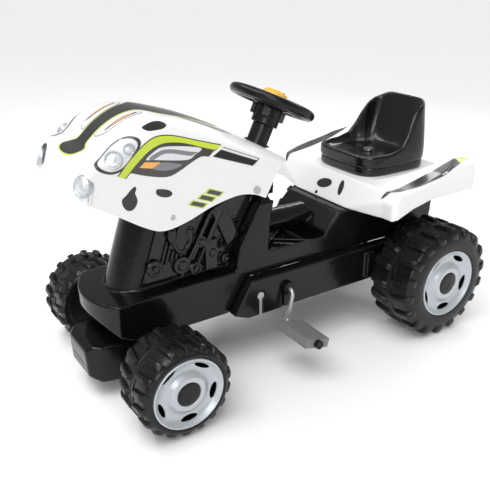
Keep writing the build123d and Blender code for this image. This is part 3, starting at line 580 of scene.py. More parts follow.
# Each lamp: side, back and up from the hinge on the closed bonnet, radius, turn of its axis from straight ahead.
lamp_places = {
    "corner_lamp": ((88, -269, -84), 16.0, 35),
    "headlight_large": ((93, -245, -35), 13.0, 58),
    "headlight_small": ((93, -229, -14), 8.5, 62),
}


def lamp_section(radius):
    """(height, radius) outline, in millimetres, of a ringed lamp with a stepped, domed face."""
    ring = [(-6, radius), (1.2, radius), (2.0, radius - 0.6), (2.1, radius - 1.5), (1.0, radius - 2.6)]
    steps = [(-0.6, radius * 0.78), (-0.2, radius * 0.70), (0.9, radius * 0.62), (1.1, radius * 0.46),
             (0.5, radius * 0.42), (1.3, radius * 0.2), (1.4, 0.02), (-6, 0.02)]
    return ring + steps


def hood_lamps(name, skin):
    """Both lamps of a pair, seated on the bonnet's corner."""
    (across, back, up), radius, turn = lamp_places[name]
    points, faces, paints = [], [], []
    section = lamp_section(radius)
    steps = 48
    for side in (-1, 1):
        out = Vector((side * sin(radians(turn)), -cos(radians(turn)), 0.10)).normalized()
        start = Vector((side * across, back, up)) * MM
        hit = skin.ray_cast(start + out * 0.08, -out)
        centre = (hit[0] if hit[0] else start) / MM
        normal = hit[1] if hit[0] else out
        normal = (normal + out).normalized()
        first = normal.cross(Vector((0, 0, 1))).normalized()
        second = normal.cross(first)
        base = len(points)
        for i in range(steps):
            angle = 2 * pi * i / steps
            ray = first * cos(angle) + second * sin(angle)
            for height, r in section:
                p = centre + normal * height + ray * r
                points.append(closed_to_frame(*p))
        count = len(section)
        for i in range(steps):
            for j in range(count):
                this, following = base + i * count, base + ((i + 1) % steps) * count
                beside = (j + 1) % count
                faces.append((this + j, this + beside, following + beside, following + j))
                paints.append(0 if j < 4 or j >= count - 1 else 1)
    mesh = mesh_from(name + "_shown", points, faces)
    mesh.materials.append(finishes["silver_plastic"])
    mesh.materials.append(finishes["lens"])
    mesh.polygons.foreach_set("material_index", paints)
    clean(mesh)
    piece = new_piece(name + "_shown", mesh)
    smooth_shade(piece, 40)
    return finish_piece(piece, None, "hood", "lens", name)


def smooth_outline(points, steps=5):
    closed = list(points) + [points[0]]
    ends = [points[-1]] + closed + [points[1]]
    line = []
    for i in range(1, len(ends) - 2):
        before, start, end, after = (np.array(p, float) for p in ends[i - 1:i + 3])
        for k in range(steps):
            t = k / steps
            line.append(tuple(0.5 * ((2 * start) + (end - before) * t
                                     + (2 * before - 5 * start + 4 * end - after) * t ** 2
                                     + (3 * start - before - 3 * end + after) * t ** 3)))
    return line


def band(outer, inner):
    """Closed outline between two open lines, both smoothed."""
    first = [tuple(p) for p in curve_through(outer, 5)]
    second = [tuple(p) for p in curve_through(inner, 5)]
    return first + second[::-1]


foil_thickness = 0.12


def sticker(name, outline, ink, body, skin, cast, lift, to_frame=None, cell=3.0):
    """A printed foil: a flat outline in millimetres, cast on a surface and given its thickness.
    cast maps (u, v) to a ray's start and direction, in the surface's own metres."""
    work = bmesh.new()
    work.faces.new([work.verts.new((u, v, 0.0)) for u, v in outline])
    low_u, low_v = min(p[0] for p in outline), min(p[1] for p in outline)
    high_u, high_v = max(p[0] for p in outline), max(p[1] for p in outline)
    for axis, low, high in (((1, 0, 0), low_u, high_u), ((0, 1, 0), low_v, high_v)):
        level = low + cell
        while level < high:
            place = (level, 0, 0) if axis[0] else (0, level, 0)
            bmesh.ops.bisect_plane(work, geom=work.verts[:] + work.edges[:] + work.faces[:],
                                   plane_co=place, plane_no=axis, dist=1e-5)
            level += cell
    bmesh.ops.triangulate(work, faces=work.faces)
    missed = []
    for vertex in work.verts:
        start, direction = cast(vertex.co.x, vertex.co.y)
        spot, normal, _, _ = skin.ray_cast(Vector(start), Vector(direction))
        if spot is None:
            missed.append(vertex)
            continue
        if normal.dot(Vector(direction)) > 0:
            normal = -normal
        vertex.co = spot + normal * lift * MM
    bmesh.ops.delete(work, geom=missed, context="VERTS")
    bmesh.ops.recalc_face_normals(work, faces=work.faces)
    facing = sum((Vector(cast(0, 0)[1]).dot(face.normal) for face in work.faces))
    if facing > 0:
        bmesh.ops.reverse_faces(work, faces=work.faces)
    if to_frame:
        for vertex in work.verts:
            vertex.co = to_frame(*(vertex.co / MM))
    mesh = bpy.data.meshes.new(name)
    work.to_mesh(mesh)
    work.free()
    piece = new_piece(name, mesh)
    modify(piece, "SOLIDIFY", thickness=foil_thickness * MM, offset=1.0)
    settle(piece)
    smooth_shade(piece, 60)
    return finish_piece(piece, ink, body, "white_plastic")


def hood_sticker(name, outline, ink, skin, cast, lift, cell=3.0):
    return sticker(name, outline, ink, "hood", skin, cast, lift, closed_to_frame, cell)


def surface_of(piece):
    mesh = piece.data
    return BVHTree.FromPolygons([v.co.copy() for v in mesh.vertices], [tuple(p.vertices) for p in mesh.polygons])


def make_hood():
    piece = new_piece("hood", hood_outer_mesh("hood"))
    modify(piece, "SUBSURF", levels=1, render_levels=1)
    settle(piece)
    skin = surface_of(piece)
    modify(piece, "SOLIDIFY", thickness=hood_wall * MM, offset=-1.0)
    settle(piece)
    slot_half = 24.1
    slot_end = 32.0
    slot = [(slot_half * sin(a), slot_end - slot_half * cos(a)) for a in np.linspace(-pi / 2, pi / 2, 17)]
    slot += [(slot_half, 120), (-slot_half, 120)]
    cut_away(piece, prism("slot", slot, lambda u, v, w: (u * MM, v * MM, w), 0.2))
    hole = spun("pivot_holes", [(-0.2, 0.0001), (0.2, 0.0001), (0.2, 0.0032), (-0.2, 0.0032)], 24)
    cut_away(piece, hole)
    modify(piece, "BEVEL", width=0.0007, segments=2, limit_method="ANGLE", angle_limit=radians(50))
    settle(piece)
    for vertex in piece.data.vertices:
        vertex.co = closed_to_frame(*(vertex.co / MM))
    clean(piece.data)
    smooth_shade(piece, 45)
    finish_piece(piece, "white_plastic", "hood", "white_plastic", "hood_shell")
    for name in lamp_places:
        hood_lamps(name, skin)
    return skin


def hood_stickers(skin):
    lime_outer = [(-232.5, -54), (-225, -28), (-215, -3), (-202.7, 13.6), (-185.6, 22.8), (-164, 28.5),
                  (-134.6, 33.4), (-88, 41.7)]
    lime_inner = [(-221.5, -52.5), (-214, -29.4), (-204.5, -7.5), (-194, 6.2), (-180.4, 15), (-153.6, 23.6),
                  (-118.3, 28.6), (-99.8, 31.7)]
    dark_edge = [(-216.5, -43), (-188, -38.5), (-159.8, -30), (-145.3, -16.5), (-132.4, 1), (-120, 14.7),
                 (-107.3, 19)]
    inner_white = [(-202.5, -18), (-195.3, -3), (-185.6, 6.7), (-160, 17), (-124, 26.3), (-131, 14), (-142.2, 2.1),
                   (-192.6, -15.1)]
    inner_arc = [(-191.5, -14.5), (-181, -2.5), (-166, 4), (-140, 9.5), (-132, 14.5), (-128, 19), (-141, 15.5),
                 (-168, 9.5), (-186, 1.5), (-199, -14.5)]
    orange = [(-207.5, -32), (-203, -22), (-179, -13.8), (-187.5, -26.5)]
    slate = [(-177, -13.8), (-150, -6.5), (-146, -8), (-156, -17), (-171, -24), (-185.5, -26.5)]
    parallelogram = [(-84.4, 41.1), (-10.7, 47.2), (-23.9, 31.9), (-100.8, 21.5)]
    panel_dark = [(-89.6, 34.9), (-16.2, 41.4), (-24.7, 33.2), (-98.8, 23.2)]
    panel_pale = [(-84.8, 39.9), (-13.2, 46.0), (-17.4, 42.4), (-89.0, 36.0)]
    pear = [(-203, -58.8), (-199.3, -62), (-198.5, -68), (-191.5, -75), (-189.3, -83), (-192, -91.5),
            (-199, -94.8), (-208, -91), (-213.5, -83), (-209.5, -73), (-207.3, -66)]
    blob = [(-168.5, -53), (-161, -49.5), (-150, -47.5), (-143, -49), (-141.5, -53), (-147, -58), (-158, -60.5),
            (-166, -59)]
    oval = [(-220, 20.5), (-213, 28), (-203, 35), (-192, 38.8), (-184.6, 37.6), (-190, 31), (-203, 24),
            (-213, 19.5)]
    layers = [
        ("swoosh_line", band(widen(lime_outer, 1.5), widen(lime_inner, -1.5)), dark_ink, 0.10),
        ("swoosh_lime", band(lime_outer, lime_inner), lime_ink, 0.20),
        ("swoosh_dark", band(lime_inner, dark_edge), dark_ink, 0.14),
        ("swoosh_white", smooth_outline(inner_white), pale_ink, 0.22),
        ("swoosh_arc", smooth_outline(inner_arc), grey_ink, 0.30),
        ("swoosh_orange", orange, orange_ink, 0.22),
        ("swoosh_slate", smooth_outline(slate), grey_ink, 0.22),
        ("panel_edge", parallelogram, dark_ink, 0.10),
        ("panel_dark", panel_dark, black_ink, 0.20),
        ("panel_pale", panel_pale, pale_ink, 0.20),
        ("patch_pear", smooth_outline(pear), black_ink, 0.12),
        ("patch_blob", smooth_outline(blob), black_ink, 0.12),
        ("patch_oval", smooth_outline(oval), black_ink, 0.12),
    ]
    for number, (back, up) in enumerate(((-70.6, -27.7), (-79.4, -39.4), (-89.9, -52.7))):
        outer = [(back - 15, up + 3.5), (back + 14, up + 6.5), (back + 9.5, up - 3.5), (back - 19.5, up - 6.5)]
        inner = [(back - 12.5, up + 2.2), (back + 10.8, up + 4.8), (back + 7.2, up - 2.2), (back - 15.8, up - 4.8)]
        layers.append((f"chip_edge_{number}", outer, lime_ink, 0.10))
        layers.append((f"chip_{number}", inner, dark_ink, 0.20))
    for side, side_name in ((1, "left"), (-1, "right")):
        def from_side(back, up, side=side):
            return (side * 0.25, back * MM, up * MM), (-side, 0, 0)
        for name, outline, ink, lift in layers:
            hood_sticker(f"{name}_{side_name}", outline, ink, skin, from_side, lift)
    rise = sqrt(0.5)
    pad_edge = [(-127, -42), (-123, -22), (-113, -5), (-101, 4), (-89, 5), (-84, -3), (-86, -22), (-91, -42),
                (-101, -54), (-114, -56), (-124, -51)]
    middle_u, middle_v = -105, -26
    for side, side_name in ((1, "left"), (-1, "right")):
        def from_corner(along, up, side=side):
            """Square to the bonnet's corner: along runs from the nose back round the corner."""
            start = Vector((side * along * rise, along * rise, up)) * MM
            return start + Vector((side * rise, -rise, 0)) * 0.45, (-side * rise, rise, 0)
        for name, share, ink, lift in (("lamp_pad", 1.0, dark_ink, 0.15), ("lamp_pad_inner", 0.86, pale_ink, 0.35)):
            ring = [(middle_u + (u - middle_u) * share, middle_v + (v - middle_v) * share) for u, v in pad_edge]
            hood_sticker(f"{name}_{side_name}", smooth_outline(ring), ink, skin, from_corner, lift, cell=2.5)

    def from_front(across, climb):
        start = Vector((across * MM, climb * MM * rise, climb * MM * rise)) + Vector((0, -rise, rise)) * 0.35
        return start, (0, rise, -rise)

    # Climb along the nose: the sum of back and up, in millimetres, over the square root of two.
    pad = [(0, -236), (22, -233), (31, -224), (27, -212), (17, -205), (16, -190), (17, -165), (20, -135), (25, -117),
           (40, -104), (47, -92), (44, -60), (37, -30), (26, -5), (0, 8)]
    stripe = pad + [(-x, climb) for x, climb in reversed(pad[1:-1])]
    rim = [(x + (2.2 if x > 0 else -2.2 if x < 0 else 0), climb + (-2 if climb < -220 else 1)) for x, climb in stripe]
    hood_sticker("nose_rim", smooth_outline(rim, 3), lime_ink, skin, from_front, 0.15)
    hood_sticker("nose_stripe", smooth_outline(stripe, 3), black_ink, skin, from_front, 0.35)
    for side, side_name in ((1, "left"), (-1, "right")):
        frame_line = [(side * 21, -190), (side * 44, -178), (side * 47, -140), (side * 45, -118), (side * 27, -122),
                      (side * 22, -150)]
        glow = [(side * 36, -178), (side * 41, -160), (side * 42, -130), (side * 38, -124), (side * 35, -150)]
        glow_hot = [(side * 38, -170), (side * 40.5, -155), (side * 40.8, -134), (side * 38.5, -130),
                    (side * 37.2, -150)]
        inner = [(x - side * (0.9 if abs(x) > 33 else -0.9), c + (1.2 if c < -150 else -1.2)) for x, c in frame_line]
        for part, outline, ink, lift in (("edge", frame_line, grey_ink, 0.15), ("pale", inner, pale_ink, 0.35),
                                         ("line", glow, black_ink, 0.55), ("glow", glow_hot, orange_ink, 0.75)):
            hood_sticker(f"grille_{part}_{side_name}", smooth_outline(outline, 4), ink, skin, from_front, lift,
                         cell=2.0)

        def from_above(across, back):
            return (across * MM, back * MM, 0.3), (0, 0, -1)
        top_shade = [(side * 50, -150), (side * 60, -120), (side * 62, -80), (side * 50, -52), (side * 47, -80),
                     (side * 48, -120)]
        hood_sticker(f"top_shade_{side_name}", smooth_outline(top_shade, 4), grey_ink, skin, from_above, 0.10)
    nose_patch = [(-62, -66), (-74, -60), (-84, -66), (-86, -78), (-76, -92), (-64, -86)]

    def from_ahead(across, up):
        return (across * MM, -0.5, up * MM), (0, 1, 0)
    hood_sticker("patch_nose", smooth_outline(nose_patch, 5), black_ink, skin, from_ahead, 0.12)


def widen(line, amount):
    """Moves an open line sideways by amount, to its left."""
    points = np.array(line, float)
    along = np.gradient(points, axis=0)
    along /= np.linalg.norm(along, axis=1)[:, None]
    side = np.stack([-along[:, 1], along[:, 0]], axis=1)
    return [tuple(p) for p in points + side * amount]


hood_surface = make_hood()
hood_stickers(hood_surface)


# ================================================================ wheels
def tyre_outline(radius_base, width, cap_radius):
    """Half outline of a wheel's outside, from the cap's edge over the shoulder to the tread's middle."""
    start = cap_radius + 0.3
    side = radius_base - start
    line = [(width - 10, start - 2.5), (width - 3.2, start), (width - 0.9, start + 1.1), (width - 0.3, start + 2.6)]
    for t in np.linspace(0.12, 1.0, 13):
        line.append((width - 0.3 - 9.0 * t ** 4 + 0.6 * sin(t * pi * 2), start + side * (1 - (1 - t) ** 1.15) * 0.995))
    middle = width / 2
    line += [(middle + 12, radius_base), (middle + 6.4, radius_base), (middle + 5.4, radius_base + 1.6),
             (middle + 3.6, radius_base + 1.6), (middle + 2.8, radius_base + 0.5), (middle + 0.8, radius_base + 0.5)]
    return line


def lug_mesh(name, line, width, radius_base, radius_top, pitch):
    """One tread lug over the outer half of the tread: broad at the shoulder, slanted, with round flanks."""
    points_line = np.array(line)
    shoulder = [p for p in points_line if p[1] > radius_base - 0.42 * (radius_base - points_line[1, 1])]
    path = np.array(shoulder[:-4])[::-1]
    path[0, 0] = width / 2 + 6.0
    lengths = np.concatenate([[0], np.cumsum(np.linalg.norm(np.diff(path, axis=0), axis=1))])
    count = 11
    stations = np.linspace(0, lengths[-1], count)
    path = np.stack([np.interp(stations, lengths, path[:, 0]), np.interp(stations, lengths, path[:, 1])], axis=1)
    along = np.gradient(path, axis=0)
    along /= np.linalg.norm(along, axis=1)[:, None]
    normal = np.stack([-along[:, 1], along[:, 0]], axis=1)
    if normal[0, 1] < 0:
        normal = -normal
    across_steps = np.array([-1.0, -0.93, -0.72, -0.35, 0.35, 0.72, 0.93, 1.0])
    heights = np.array([-0.5, 0.35, 0.9, 1.0, 1.0, 0.9, 0.35, -0.5])
    tall = radius_top - radius_base
    points = []
    for layer in (0, 1):
        for i, station in enumerate(np.linspace(0, 1, count)):
            end_fade = min(1.0, station / 0.10, (1 - station) / 0.30)
            half_angle = pitch * (0.19 + 0.10 * station)
            slant = pitch * 0.22 * station
            for step, height in zip(across_steps, heights):
                rise = tall * height * max(0.0, end_fade) ** 0.6 if height > 0 else -0.8
                rise = rise if layer else -1.6
                x = path[i, 0] + normal[i, 0] * rise
                r = path[i, 1] + normal[i, 1] * rise
                angle = slant + half_angle * step
                points.append((x * MM, r * sin(angle) * MM, r * cos(angle) * MM))
    row = len(across_steps)
    layer_size = row * count
    faces = []
    for i in range(count - 1):
        for j in range(row - 1):
            a = i * row + j
            faces.append((a, a + 1, a + row + 1, a + row))
            b = a + layer_size
            faces.append((b, b + row, b + row + 1, b + 1))
    border = [i for i in range(row)] + [i * row + row - 1 for i in range(1, count)]
    border += [(count - 1) * row + j for j in range(row - 2, -1, -1)] + [i * row for i in range(count - 2, 0, -1)]
    for k, a in enumerate(border):
        b = border[(k + 1) % len(border)]
        faces.append((a, a + layer_size, b + layer_size, b))
    mesh = mesh_from(name, points, faces)
    clean(mesh)
    return new_piece(name, mesh)


def cap_outline(width, cap):
    """Closed (x, radius) outline of a wheel cap: bright rim, dished face, raised cone, ring round the middle."""
    ring = cap * 0.33
    face = [(width - 7, cap), (width + 0.2, cap), (width + 1.0, cap - 0.7), (width + 1.0, cap - 2.4),
            (width + 0.3, cap - 3.2), (width - 3.4, cap * 0.90), (width - 7.4, cap * 0.80),
            (width - 9.2, cap * 0.70), (width - 8.8, cap * 0.62), (width - 6.0, cap * 0.555),
            (width - 1.8, cap * 0.50), (width - 0.4, cap * 0.465), (width - 0.2, cap * 0.44),
            (width - 0.2, ring + 1.0), (width - 1.0, ring + 0.4), (width - 3.0, ring + 0.3)]
    back = [(x - 2.2, radius - 0.3) for x, radius in reversed(face[5:-1])]
    return face + [(width - 5.2, ring + 0.3)] + back + [(width - 5.4, cap - 3.6), (width - 7, cap - 3.2)]


def wheel(set_name, side_name, tyre_node, cap_node, middle_node, place, body_name):
    low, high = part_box(tyre_node)
    radius_top = (high.z - low.z) / 2 / MM
    width = (high.x - low.x) / MM
    cap_low, cap_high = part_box(cap_node)
    cap = (cap_high.z - cap_low.z) / 2 / MM
    lug_height = 6.0
    base = radius_top - lug_height
    lugs_round = 18
    pitch = 2 * pi / lugs_round
    outer = tyre_outline(base, width, cap)
    inner = [(width - x if x < width - 4 else 0.3, r) for x, r in outer[4:]][::-1]
    section = outer + inner + [(0.2, cap + 4), (1.2, cap + 1), (12, cap - 9), (12, 18), (0.4, 18), (0.4, 6.3),
                               (width - 30, 6.3), (width - 30, 14), (16, 19), (16, cap - 8), (width - 12, cap - 2.5)]
    body = spun(f"{set_name}_{side_name}_carcass", [(x * MM, r * MM) for x, r in section], 144)
    lug = lug_mesh("lug", outer, width, base, radius_top, pitch)
    far_lug = new_piece("far_lug", lug.data.copy())
    for vertex in far_lug.data.vertices:
        vertex.co.x = width * MM - vertex.co.x
    clean(far_lug.data)
    parts = [body]
    for shape, phase in ((lug, 0.0), (far_lug, pitch / 2)):
        parts.append(repeated("lugs", ring_tree, finishes["wheel_plastic"], Shape=shape, Count=lugs_round,
                              Phase=phase, Centre=(0.0, 0.0, 0.0)))
    for shape in (lug, far_lug):
        bpy.data.objects.remove(shape)
    shown = joined(f"wheel_{set_name}_{side_name}", parts)
    cap_piece = spun(f"cap_{set_name}_{side_name}", [(x * MM, r * MM) for x, r in cap_outline(width, cap)], 120)
    for i in range(5):
        angle = radians(56 - 72 * i)
        centre = (cap * 0.785 * cos(angle), cap * 0.785 * sin(angle))
        loop = loop_of(centre, cap * 0.245, cap * 0.075, angle + pi / 2, 32, 1.15)
        cut_away(cap_piece, prism("slot", loop, lambda u, v, w: ((width - 7) * MM + w, u * MM, v * MM), 0.02))
    modify(cap_piece, "BEVEL", width=0.0005, segments=2, limit_method="ANGLE", angle_limit=radians(40))
    settle(cap_piece)
    dome_edge = cap * 0.33
    dome = [(width - 5.0, 0.02), (width - 5.0, dome_edge), (width - 1.4, dome_edge), (width - 0.8, dome_edge - 0.7),
            (width - 0.2, dome_edge * 0.7), (width + 0.15, dome_edge * 0.35), (width + 0.25, 0.02)]
    middle = spun(f"middle_{set_name}_{side_name}", [(x * MM, r * MM) for x, r in dome], 72)
    curl = swept("curl", [((width + 0.25 - 0.1 * abs(t)) * MM, (-4.5 + 8 * cos(t) * dome_edge / 21) * MM,
                           (8.5 * sin(t) * dome_edge / 21 - 3) * MM) for t in np.linspace(-1.5, 0.35, 12)], 0.0007)
    middle = joined(middle.name, [middle, curl])
    sign = 1 if side_name == "left" else -1
    inner_face = low.x if sign > 0 else -high.x
    for piece in (shown, cap_piece, middle):
        for vertex in piece.data.vertices:
            vertex.co = Vector((sign * (vertex.co.x + inner_face), vertex.co.y + place.y, vertex.co.z + place.z))
        clean(piece.data)
    smooth_shade(shown, 38)
    smooth_shade(cap_piece, 35)
    smooth_shade(middle, 40)
    finish_piece(shown, "wheel_plastic", body_name, "wheel_plastic", tyre_node)
    finish_piece(cap_piece, "silver_plastic", body_name, "silver_plastic", cap_node)
    finish_piece(middle, "satin_black", body_name, "satin_black", middle_node)


def swept(name, path, radius, sides=10):
    """A round bar along a path of points, with closed ends."""
    points = [Vector(p) for p in path]
    vertices, faces = [], []
    up = Vector((0.31, 0.23, 0.92)).normalized()
    for i, point in enumerate(points):
        along = (points[min(i + 1, len(points) - 1)] - points[max(i - 1, 0)]).normalized()
        first = along.cross(up).normalized()
        second = along.cross(first)
        for k in range(sides):
            angle = 2 * pi * k / sides
            vertices.append(point + (first * cos(angle) + second * sin(angle)) * radius)
    for i in range(len(points) - 1):
        for k in range(sides):
            a, b = i * sides + k, i * sides + (k + 1) % sides
            faces.append((a, b, b + sides, a + sides))
    faces += [tuple(range(sides)), tuple(range((len(points) - 1) * sides, len(points) * sides))]
    mesh = mesh_from(name, vertices, faces)
    clean(mesh)
    return new_piece(name, mesh)


rear_place = joint_place("axle_spin")
front_place = joint_place("front_wheel_left_spin")
for side_name in ("left", "right"):
    wheel("rear", side_name, f"tyre_rear_{side_name}", f"hub_cap_rear_{side_name}", f"centre_cap_rear_{side_name}",
          rear_place, "driven_axle" if side_name == "left" else "rear_wheel_right")
    wheel("front", side_name, f"tyre_front_{side_name}", f"hub_cap_front_{side_name}",
          f"centre_cap_front_{side_name}", front_place, f"front_wheel_{side_name}")


# ================================================================ seat
def make_seat():
    """Seat shell: a plinth, a sunk pan with a rolled rim, and sides that sweep up into a round back."""
    low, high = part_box("seat_shell")
    half = (high.x - low.x) / 2 / MM
    depth = (high.y - low.y) / MM
    tall = (high.z - low.z) / MM
    pan = 27.0
    around = 160
    points = []
    for i in range(around):
        angle = 2 * pi * i / around
        side, back = cos(angle), sin(angle)
        reach = (abs(side / half) ** 4.6 + abs(back / (depth / 2)) ** 4.6) ** (-1 / 4.6)
        across, along = reach * side, reach * back
        share_back = (along + depth / 2) / depth
        crown = np.interp(share_back, [0, 0.36, 0.52, 0.61, 0.69, 0.76, 0.84, 1],
                          [37, 39, 46, 64, 94, 114, 123, 124])
        crown -= 13.0 * max(0.0, (abs(across) / half - 0.62) / 0.38) ** 2 * max(0.0, (crown - 60) / 64)
        crown = min(crown, tall)
        lift = (crown - 37) / 87
        drop = 0.10 + 0.26 * lift
        line = [(0.0, 0.0), (0.97, 0.0), (0.985, 1.2), (0.985, 14.0), (0.972, 15.2), (0.972, 16.4), (0.992, 17.6),
                (1.0, 20.0)]
        line += [(1.0, height) for height in np.linspace(22.0, crown - 4.0, 7)[1:]]
        line += [(0.993, crown - 1.6), (0.972, crown - 0.2), (0.945, crown), (0.922, crown - 1.6),
                 (0.908, crown - 5.0)]
        for t in np.linspace(0.0, 1.0, 13)[1:]:
            fall = (1 - min(1.0, t * 0.9 / drop)) ** 1.9
            line.append((0.908 * (1 - t), pan + (crown - 6.0 - pan) * fall - 2.0 * t))
        for share, height in line:
            rise = max(0.0, height - 30.0) / (tall - 30.0)
            narrow = 1.0 - 0.20 * rise ** 1.2
            lean = -7.0 * (1.0 - height / tall) * max(0.0, share_back - 0.5) * 2
            points.append(((across * share * narrow) * MM, ((low.y + high.y) / 2) + (along * share + lean) * MM,
                           low.z + height * MM))
    row = len(points) // around
    faces = []
    for i in range(around):
        following = (i + 1) % around
        for j in range(row - 1):
            faces.append((i * row + j, following * row + j, following * row + j + 1, i * row + j + 1))
    mesh = mesh_from("seat", points, faces)
    clean(mesh, 2e-6)
    seat = new_piece("seat", mesh)
    modify(seat, "SUBSURF", levels=1, render_levels=1)
    settle(seat)
    smooth_shade(seat)
    return finish_piece(seat, "seat_plastic", "seat", "black_plastic", "seat_shell")


def deck_corner(side):
    """Wedge that carries the deck's front lip round to the fender: its side, back and up in layout mm."""
    corners = [(66, 98, 240), (66, 119.5, 271.6), (66, 119.5, 240), (150, 119.5, 271.6), (150, 119.5, 240)]
    work = bmesh.new()
    for across, back, up in corners:
        work.verts.new((side * across * MM, (back + cad_shift_back) * MM, up * MM))
    bmesh.ops.convex_hull(work, input=work.verts)
    bmesh.ops.recalc_face_normals(work, faces=work.faces)
    mesh = bpy.data.meshes.new("deck_corner")
    work.to_mesh(mesh)
    work.free()
    return new_piece("deck_corner", mesh)


cad_shift_back = (rear_place.y / MM) - 240.0


# ================================================================ moulded shells
moulded_copy("chassis_frame", "chassis", "black_plastic", "black_plastic", 0.0019, 9, 0.45)
moulded_copy("chain_case", "chassis", "black_plastic", "black_plastic", 0.0021, 5, 0.5)
deck = moulded_copy("rear_deck", "chassis", "white_plastic", "white_plastic", 0.0018, 14, 0.5,
                    [deck_corner(1), deck_corner(-1)])
make_seat()
moulded_copy("steering_wheel", "steering", "satin_black", "black_plastic", 0.0011, 6, 0.6)
moulded_copy("wheel_hub", "steering", "satin_black", "satin_black", 0.0009, 4, 0.6)
moulded_copy("axle_carrier", "carrier", "black_plastic", "satin_black", 0.0018, 24, 0.6)
moulded_copy("tow_hitch", "chassis", "satin_black", "satin_black", 0.0009, 4, 0.6)
moulded_copy("column_tube", "chassis", "satin_black", "satin_black", 0.0010, 3, 0.5)
for side_name in ("left", "right"):
    moulded_copy(f"engine_panel_{side_name}", "chassis", "engine_plastic", "black_plastic", 0.0009, 3, 0.5)

carried_over = {
    "steel": ["rear_axle", "front_axle", "crank_rod", "steering_shaft", "drag_link", "kingpin", "link_pin", "seat_bolt",
              "crank_sprocket", "axle_sprocket", "hood_screw_left", "hood_screw_right", "push_nut_rear_left",
              "push_nut_rear_right", "push_nut_front_left", "push_nut_front_right"],
    "chain_steel": ["drive_chain"],
    "grey_plastic": ["pedal_left", "pedal_right"],
    "bush_plastic": ["axle_bush_left", "axle_bush_right"],
    "satin_black": ["pedal_cap_left", "pedal_cap_right", "crank_clip_left", "crank_clip_right", "shaft_bearing",
                    "kingpin_block", "seat_nut", "seat_latch", "column_bezel"],
}
for finish_name, names in carried_over.items():
    for node_name in names:
        materials = nodes[node_name].data.materials
        materials.clear()
        materials.append(finishes[finish_name])


# ================================================================ engine relief and rivets
def block(name, long, wide, high):
    corners = [(-long / 2, -wide / 2), (long / 2, -wide / 2), (long / 2, wide / 2), (-long / 2, wide / 2)]
    return prism(name, corners, lambda u, v, w: (u * MM, v * MM, w), high / 2 * MM)


def engine_relief(side, side_name):
    """Piston, pipes with their heads, pulley bolts and a field of slots on the engine's side."""
    low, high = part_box(f"engine_panel_{side_name}")
    face = (low.x if side > 0 else -high.x) + 4 * MM
    shift = cad_shift_back

    def at(proud, back, up):
        return (side * (face + proud * MM), (back + shift) * MM, up * MM)

    parts = [
        swept("rod_thick", [at(5, -157, 286), at(5, -183, 238)], 5.0 * MM, 14),
        swept("rod_thin", [at(5, -182, 240), at(5, -204, 199)], 2.8 * MM, 12),
        swept("collar", [at(5, -181, 242), at(5, -184, 236)], 6.4 * MM, 14),
        swept("pipe", [at(5, *point) for point in smooth_outline(
            [(-247, 262), (-246, 246), (-238, 234), (-226, 233), (-218, 243), (-217, 258)], 6)[:31]], 5.2 * MM, 14),
    ]
    for back, up in ((-247, 262), (-217, 258)):
        parts.append(swept("head", [at(5, back - 1, up - 4), at(5, back + 1, up + 9)], 8.0 * MM, 16))
        parts.append(swept("head_cap", [at(5, back + 1, up + 10), at(5, back + 2, up + 13)], 6.2 * MM, 16))
    for back, up, radius in ((-206, 194, 12.0), (-279, 212, 14.0)):
        section = [(0.0, 0.02), (0.0, radius), (5.0, radius), (6.2, radius - 1.4), (6.2, radius * 0.62),
                   (4.6, radius * 0.58), (4.6, radius * 0.36), (7.6, radius * 0.30), (8.0, 0.02)]
        parts.append(spun("disc", [(side * x * MM, r * MM) for x, r in section], 48, at(0, back, up)))
        bolt = spun("bolt", [(side * x * MM, r * MM) for x, r in ((5.4, 0.01), (5.4, 1.5), (7.0, 1.3), (7.2, 0.01))],
                    12, (0, 0, radius * 0.80 * MM))
        parts.append(repeated("bolts", ring_tree, finishes["engine_plastic"], Shape=bolt, Count=7, Phase=0.2,
                              Centre=at(0, back, up)))
        bpy.data.objects.remove(bolt)
    slot = block("slot", 6.4, 2.6, 3.4)
    for back, up, columns, rows, long, tall in ((-152, 232, 6, 5, 44, 24), (-140, 262, 5, 3, 36, 14),
                                                (-176, 200, 4, 3, 28, 12)):
        parts.append(repeated("slots", grid_tree, finishes["engine_plastic"], Shape=slot, Size_X=long * MM,
                              Size_Y=tall * MM, Columns=columns, Rows=rows, Centre=at(0.6, back, up),
                              Turn=(radians(72), 0.0, radians(90))))
    bpy.data.objects.remove(slot)
    piece = joined(f"engine_relief_{side_name}", parts)
    clean(piece.data)
    piece.data.materials.clear()
    smooth_shade(piece, 35)
    finish_piece(piece, "engine_plastic", "chassis", "black_plastic")


def rivets(skin):
    """Blind rivet heads on the bonnet's sides: back and up from the hinge, closed."""
    for side, side_name in ((1, "left"), (-1, "right")):
        spot = skin.ray_cast(Vector((side * 0.25, -0.125, -0.0835)), Vector((-side, 0, 0)))[0]
        head = spun(f"rivet_{side_name}", [(side * x * MM, r * MM) for x, r in (
            (-1.0, 0.01), (-1.0, 4.2), (0.5, 4.2), (1.2, 3.2), (0.7, 2.0), (0.4, 0.01))], 28, spot)
        for vertex in head.data.vertices:
            vertex.co = closed_to_frame(*(vertex.co / MM))
        clean(head.data)
        smooth_shade(head, 40)
        finish_piece(head, "silver_plastic", "hood", "silver_plastic")


def horn_cap():
    """The horn's cap, drawn out to a dome that stands above the steering wheel's rim."""
    piece = cad_copy("horn_cap", "horn_button")
    axis = Vector(joints["horn_press"]["axis"]).normalized()
    axis = axis if axis.z > 0 else -axis
    low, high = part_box("horn_button")
    middle = (low + high) / 2
    for vertex in piece.data.vertices:
        height = (vertex.co - middle).dot(axis)
        if height > 0:
            vertex.co += axis * 7.0 * MM
    smooth_shade(piece, 40)
    finish_piece(piece, "yellow_plastic", "horn", "yellow_plastic", "horn_button")


